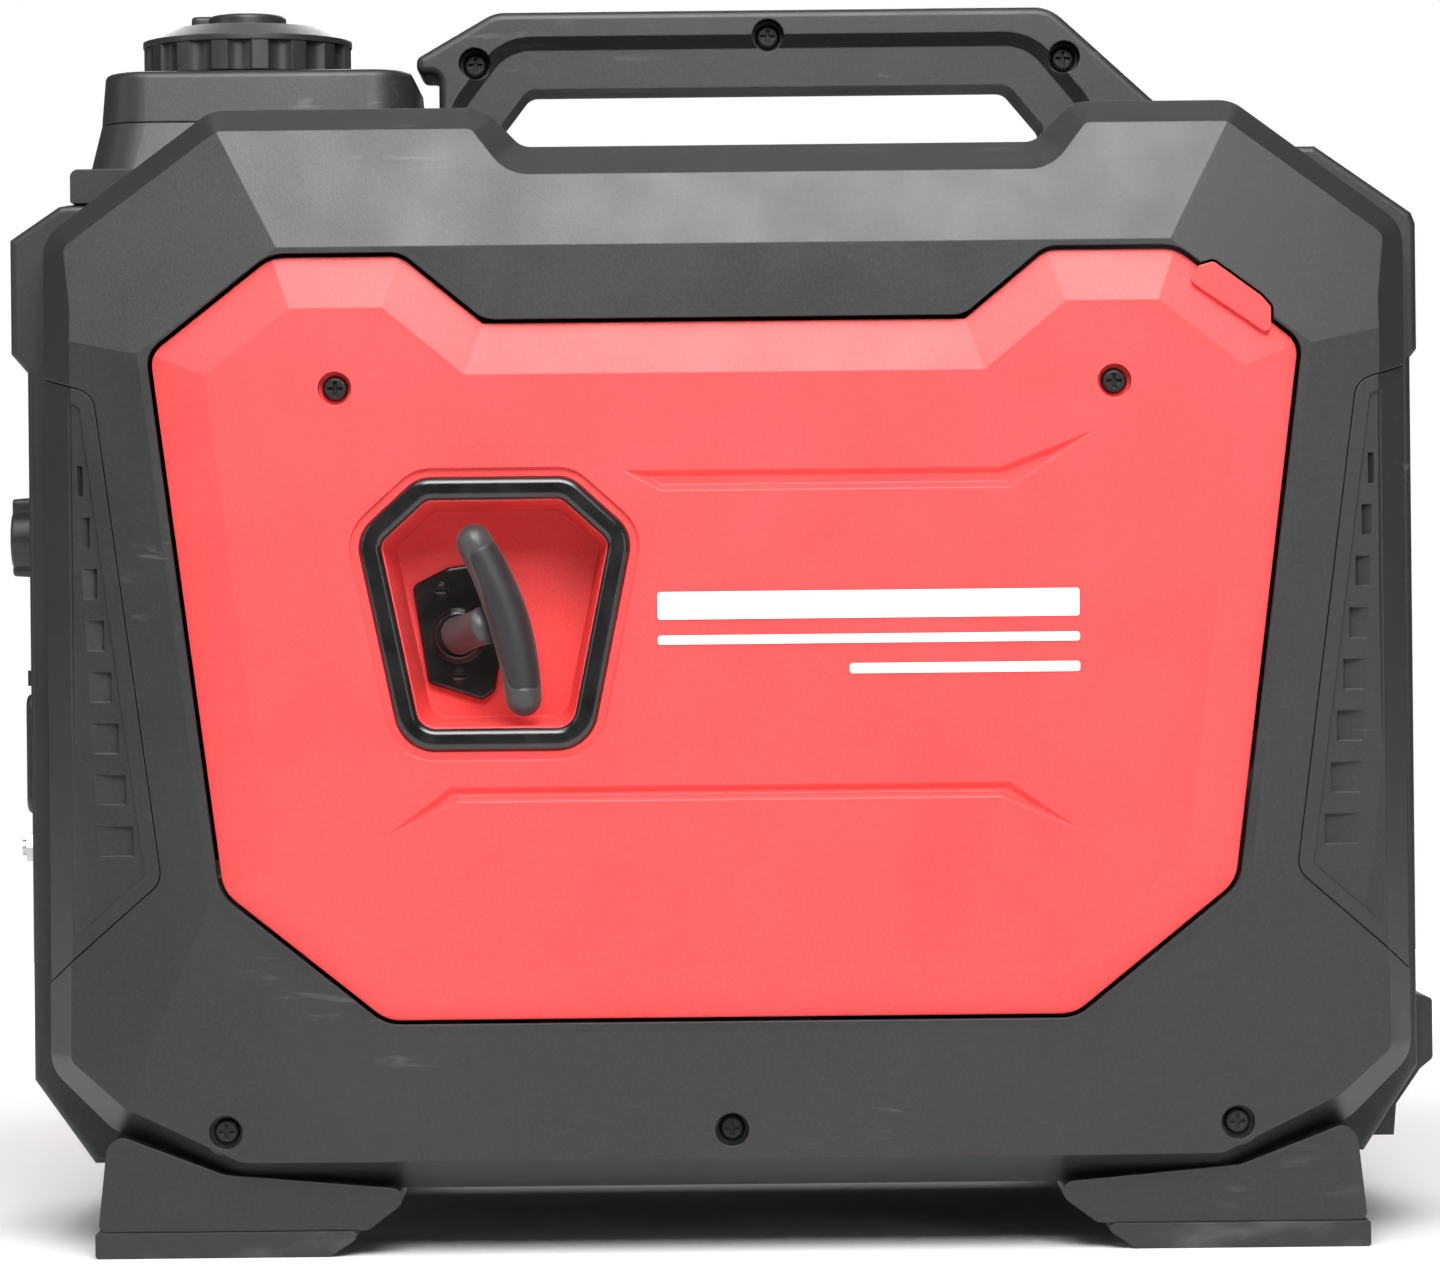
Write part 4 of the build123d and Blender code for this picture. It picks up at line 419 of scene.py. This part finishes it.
FINISHES = {
    "frame_plastic": moulded_plastic(
        "frame_plastic_finish",
        (0.0160, 0.0165, 0.017),
        (0.0210, 0.0215, 0.022),
        0.40,
        0.0007,
        0.00007,
        scuff=0.2,
    ),
    "red_plastic": moulded_plastic(
        "red_plastic_finish", (0.80, 0.055, 0.055), (0.84, 0.061, 0.061), 0.37, 0.0006, 0.00004
    ),
    "black_gloss": gloss_plastic("black_gloss_finish", (0.005, 0.005, 0.005), 0.09),
    "black_plastic": moulded_plastic(
        "black_plastic_finish", (0.015, 0.015, 0.016), (0.020, 0.020, 0.021), 0.40, 0.0008, 0.00006
    ),
    "grip_rubber": rubber("grip_rubber_finish", (0.040, 0.041, 0.042), (0.060, 0.061, 0.062), 0.42),
    "foot_rubber": rubber(
        "foot_rubber_finish", (0.018, 0.018, 0.018), (0.075, 0.074, 0.072), 0.62, 0.0001
    ),
    "screw_steel": steel(
        "screw_steel_finish", (0.012, 0.012, 0.013), (0.028, 0.028, 0.028), 0.34, metallic=0.4
    ),
    "socket_plastic": moulded_plastic(
        "socket_plastic_finish", (0.016, 0.016, 0.017), (0.022, 0.022, 0.023), 0.38, 0.0009, 0.00004
    ),
    "lens": lamp_lens(),
    "zinc_steel": steel(
        "zinc_steel_finish", (0.48, 0.48, 0.47), (0.66, 0.65, 0.62), 0.33, (0.2, 1.0, 1.0)
    ),
    "cast_aluminium": cast_metal("cast_aluminium_finish"),
    "copper_stack": copper_stack(),
    "hot_steel": steel(
        "hot_steel_finish", (0.22, 0.20, 0.19), (0.38, 0.35, 0.32), 0.46, (1.0, 1.0, 0.3), 1.0, 0.8
    ),
    "rope_cord": braided_rope(),
    "tank_plastic": moulded_plastic(
        "tank_plastic_finish", (0.024, 0.024, 0.025), (0.032, 0.032, 0.033), 0.5, 0.0012, 0.0001
    ),
    "ceramic": glazed_ceramic(),
    "spring_steel": steel(
        "spring_steel_finish", (0.20, 0.20, 0.22), (0.34, 0.34, 0.36), 0.3, (1.0, 0.1, 1.0)
    ),
}


def finish_cad_nodes():
    """Gives every CAD node the finish of its material slot in the record."""
    slots = {part["node"]: part["material_slot"] for part in frame["record"]["subparts"]}
    for name, node in nodes.items():
        finish = FINISHES[slots[name]]
        if not node.material_slots:
            node.data.materials.append(finish)
        for holder in node.material_slots:
            holder.material = finish


# ---------------------------------------------------------------- printed bars on the red panel
PRINT_PROUD = 0.00015
PRINT_CORNER = 0.0011
PRINT_CORNER_STEPS = 6
# left, right, low and high edge of each bar
PRINT_BARS = {
    "print_bar_wide": (-0.025, 0.127, 0.2295, 0.2395),
    "print_bar_rule": (-0.025, 0.127, 0.2205, 0.2238),
    "print_bar_short": (0.044, 0.127, 0.2095, 0.2132),
}


def rounded_bar(name, left, right, low, high, back, front):
    """Flat bar with rounded corners between the Y planes back and front."""
    ring = []
    for x, z, turn in (
        (right - PRINT_CORNER, high - PRINT_CORNER, 0.0),
        (left + PRINT_CORNER, high - PRINT_CORNER, 0.5 * pi),
        (left + PRINT_CORNER, low + PRINT_CORNER, pi),
        (right - PRINT_CORNER, low + PRINT_CORNER, 1.5 * pi),
    ):
        for step in range(PRINT_CORNER_STEPS + 1):
            angle = turn + 0.5 * pi * step / PRINT_CORNER_STEPS
            ring.append((x + PRINT_CORNER * cos(angle), z + PRINT_CORNER * sin(angle)))
    count = len(ring)
    points = [(x, front, z) for x, z in ring] + [(x, back, z) for x, z in ring]
    faces = [tuple(range(count)), tuple(range(2 * count - 1, count - 1, -1))]
    for i in range(count):
        after = (i + 1) % count
        faces.append((after, i, count + i, count + after))
    return new_object(name, points, faces, smooth=False)


def make_print():
    """Plain bars that stand where a maker's print would be."""
    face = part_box("side_panel_left")[0].y
    finish = printed_white()
    for name, (left, right, low, high) in PRINT_BARS.items():
        bar = rounded_bar(name, left, right, low, high, face + PRINT_PROUD, face - PRINT_PROUD)
        bar.data.materials.append(finish)
        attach(bar, "housing")


# ---------------------------------------------------------------- starter grip and rope
GRIP_CENTRE = (-0.084, 0.2295)
GRIP_LENGTH = 0.072
GRIP_TILT = radians(17.0)
GRIP_BOW = 0.005
GRIP_HALF_WIDTH = 0.0075
GRIP_HALF_DEPTH = 0.0081
GRIP_END = 0.0075
GRIP_RINGS = 180
GRIP_SIDES = 96
INLAY_GROOVE = 0.0005
INLAY_GROOVE_WIDTH = 0.07
# the inlay's edges along the grip as shares of its length, and their weight against its sides
INLAY_TOP = 0.13
INLAY_BOTTOM = 0.86
INLAY_END_WEIGHT = 9.0
INLAY_CORNER = 0.45
NECK_START = (-0.098, -0.1242, 0.2245)
NECK_RADIUS = 0.0071
NECK_WAIST = 0.08
NECK_REACH = 0.82
NECK_RINGS = 40
NECK_SIDES = 64
ROPE_RADIUS = 0.00225
ROPE_TURNS = 46
ROPE_STRANDS = 3
ROPE_LOBE_DEPTH = 0.16
ROPE_RINGS = 12 * ROPE_TURNS
ROPE_SIDES = 24
ROPE_INSIDE = 0.022
ROPE_INTO_NECK = 0.006
EYELET_RING = 0.0080
EYELET_WIRE = 0.0009
EYELET_SEAT = 0.0006
EYELET_STEPS = 16
EYELET_SIDES = 96


def inlay_share(along, around):
    """Above 0 inside the soft inlay of the grip and below 0 outside; along runs 0 to 1 from the top."""
    left = -0.95 + 0.22 * sin(2.6 * pi * along)
    right = 1.55 + 0.18 * sin(2.0 * pi * along + 0.6)
    sideways = min(around - left, right - around)
    endways = min(along - INLAY_TOP, INLAY_BOTTOM - along) * INLAY_END_WEIGHT
    if sideways < INLAY_CORNER and endways < INLAY_CORNER:
        return INLAY_CORNER - sqrt((INLAY_CORNER - sideways) ** 2 + (INLAY_CORNER - endways) ** 2)
    return min(sideways, endways)


def make_grip(front):
    """Curved T-grip of two materials: a hard core and a soft inlay with a wavy seam."""
    centre_x, centre_z = GRIP_CENTRE
    centre_y = front + GRIP_HALF_DEPTH
    lean_x, lean_z = sin(GRIP_TILT), cos(GRIP_TILT)
    points = []
    shares = []
    for ring in range(GRIP_RINGS + 1):
        along = ring / GRIP_RINGS
        ease = 0.5 - 0.5 * cos(pi * along)
        run = (ease - 0.5) * GRIP_LENGTH
        bow = GRIP_BOW * (1.0 - (2.0 * ease - 1.0) ** 2)
        middle_x = centre_x + lean_x * run + lean_z * bow
        middle_z = centre_z - lean_z * run + lean_x * bow
        slope = -4.0 * GRIP_BOW * (2.0 * ease - 1.0) / GRIP_LENGTH
        side_x, side_z = lean_z - slope * lean_x, lean_x + slope * lean_z
        short = sqrt(side_x * side_x + side_z * side_z)
        end = max(0.0, 1.0 - min(ease, 1.0 - ease) * GRIP_LENGTH / GRIP_END)
        swell = sqrt(max(0.0, 1.0 - end**2.4)) * (0.94 + 0.06 * cos(2.0 * pi * (ease - 0.5)))
        for side in range(GRIP_SIDES):
            angle = 2.0 * pi * side / GRIP_SIDES
            around = atan2(sin(angle), cos(angle))
            share = inlay_share(ease, around)
            sunk = INLAY_GROOVE * max(0.0, 1.0 - (share / INLAY_GROOVE_WIDTH) ** 2)
            sunk *= 1.0 if swell > 0.5 else 0.0
            across = (GRIP_HALF_WIDTH * swell - sunk) * sin(angle) if swell else 0.0
            depth = (GRIP_HALF_DEPTH * swell - sunk) * cos(angle) if swell else 0.0
            x = middle_x + across * side_x / short
            z = middle_z + across * side_z / short
            points.append((x, centre_y - depth, z))
            shares.append(share)
    faces = skin(GRIP_RINGS + 1, GRIP_SIDES)
    grip = new_object("grip_bar", points, faces)
    grip.data.materials.append(FINISHES["grip_rubber"])
    grip.data.materials.append(
        rubber("grip_inlay_finish", (0.013, 0.013, 0.014), (0.024, 0.024, 0.025), 0.5)
    )
    inlaid = [1 if shares[face[0]] > 0.0 else 0 for face in faces]
    grip.data.polygons.foreach_set("material_index", inlaid)
    return grip, Vector((centre_x, centre_y, centre_z))


def tube(name, start, end, radii, sides, twist=None, lobes=0, lobe_depth=0.0):
    """Tube from start to end through (share along, radius) pairs, closed at both ends.

    With lobes its section is that of twisted strands, and twist gives the turn at a share along.
    """
    start, end = Vector(start), Vector(end)
    forward = (end - start).normalized()
    first = forward.orthogonal().normalized()
    second = forward.cross(first)
    points = []
    for share, radius in radii:
        turned = twist(share) if twist else 0.0
        for side in range(sides):
            angle = 2.0 * pi * side / sides
            reach = radius
            if lobes:
                reach *= 1.0 - lobe_depth + lobe_depth * abs(cos(0.5 * lobes * (angle - turned)))
            points.append(start.lerp(end, share) + reach * (cos(angle) * first + sin(angle) * second))
    start_cap = tuple(range(sides - 1, -1, -1))
    end_cap = tuple(range((len(radii) - 1) * sides, len(radii) * sides))
    return new_object(name, points, [start_cap, *skin(len(radii), sides), end_cap])


def eased(share):
    """Smooth step from 0 to 1."""
    return share * share * (3.0 - 2.0 * share)


def uneased(value):
    """The share whose smooth step is the value."""
    low, high = 0.0, 1.0
    for _ in range(30):
        middle = (low + high) / 2.0
        if eased(middle) < value:
            low = middle
        else:
            high = middle
    return (low + high) / 2.0


def turned_piece(name, profile, centre_x, centre_z, sides):
    """Piece turned about an axis along Y from (radius, y) pairs that close on themselves."""
    points = []
    for radius, y in profile:
        for side in range(sides):
            angle = 2.0 * pi * side / sides
            points.append((centre_x + radius * cos(angle), y, centre_z + radius * sin(angle)))
    return new_object(name, points, skin(len(profile), sides))


def make_plate_trim():
    """Bright rolled lip of the rope eyelet, around the hole that the neck rests in."""
    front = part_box("starter_guide_plate")[0].y
    profile = []
    for step in range(EYELET_STEPS + 1):
        angle = 2.0 * pi * step / EYELET_STEPS
        y = front + EYELET_SEAT - EYELET_WIRE * sin(angle)
        profile.append((EYELET_RING + EYELET_WIRE * cos(angle), y))
    lip = turned_piece("eyelet_lip", profile, NECK_START[0], NECK_START[2], EYELET_SIDES)
    lip.data.materials.append(FINISHES["black_gloss"])
    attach(lip, "housing")


def make_starter():
    """The detailed grip, its neck, and the rope that pays out between the eyelet and the neck."""
    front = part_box("starter_grip")[0].y
    grip, centre = make_grip(front)
    neck_end = Vector(NECK_START).lerp(centre, NECK_REACH)
    shares = [ring / NECK_RINGS for ring in range(NECK_RINGS + 1)]
    radii = [(share, NECK_RADIUS * (1.0 - NECK_WAIST * sin(pi * share))) for share in shares]
    neck = tube("grip_neck", NECK_START, neck_end, radii, NECK_SIDES)
    neck.data.materials.append(FINISHES["grip_rubber"])
    for piece in (grip, neck):
        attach(piece, "starter_pull")
        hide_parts("starter_grip")

    rope_start = Vector(NECK_START) + Vector((0.0, ROPE_INSIDE, 0.0))
    rope_end = Vector(NECK_START) - Vector((0.0, ROPE_INTO_NECK, 0.0))
    rows = [(uneased(step / ROPE_RINGS), ROPE_RADIUS) for step in range(ROPE_RINGS + 1)]
    rope = tube(
        "starter_cord",
        rope_start,
        rope_end,
        rows,
        ROPE_SIDES,
        twist=lambda share: 2.0 * pi * ROPE_TURNS / ROPE_STRANDS * eased(share),
        lobes=ROPE_STRANDS,
        lobe_depth=ROPE_LOBE_DEPTH,
    )
    rope.data.materials.append(FINISHES["rope_cord"])
    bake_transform(rope)


# ---------------------------------------------------------------- run
make_camera()
make_world()
for lamp_name, lamp in SOFTBOXES.items():
    make_softbox(lamp_name, *lamp)
finish_cad_nodes()
make_print()
make_starter()
make_plate_trim()

turns = [2.0 * pi * side / FLOOR_SIDES for side in range(FLOOR_SIDES)]
floor_ring = [(FLOOR_RADIUS * cos(turn), FLOOR_RADIUS * sin(turn), 0.0) for turn in turns]
floor = new_object("studio_floor", floor_ring, [tuple(range(FLOOR_SIDES))], smooth=False)
floor.data.materials.append(studio_floor())

bpy.context.scene.view_settings.view_transform = "Standard"
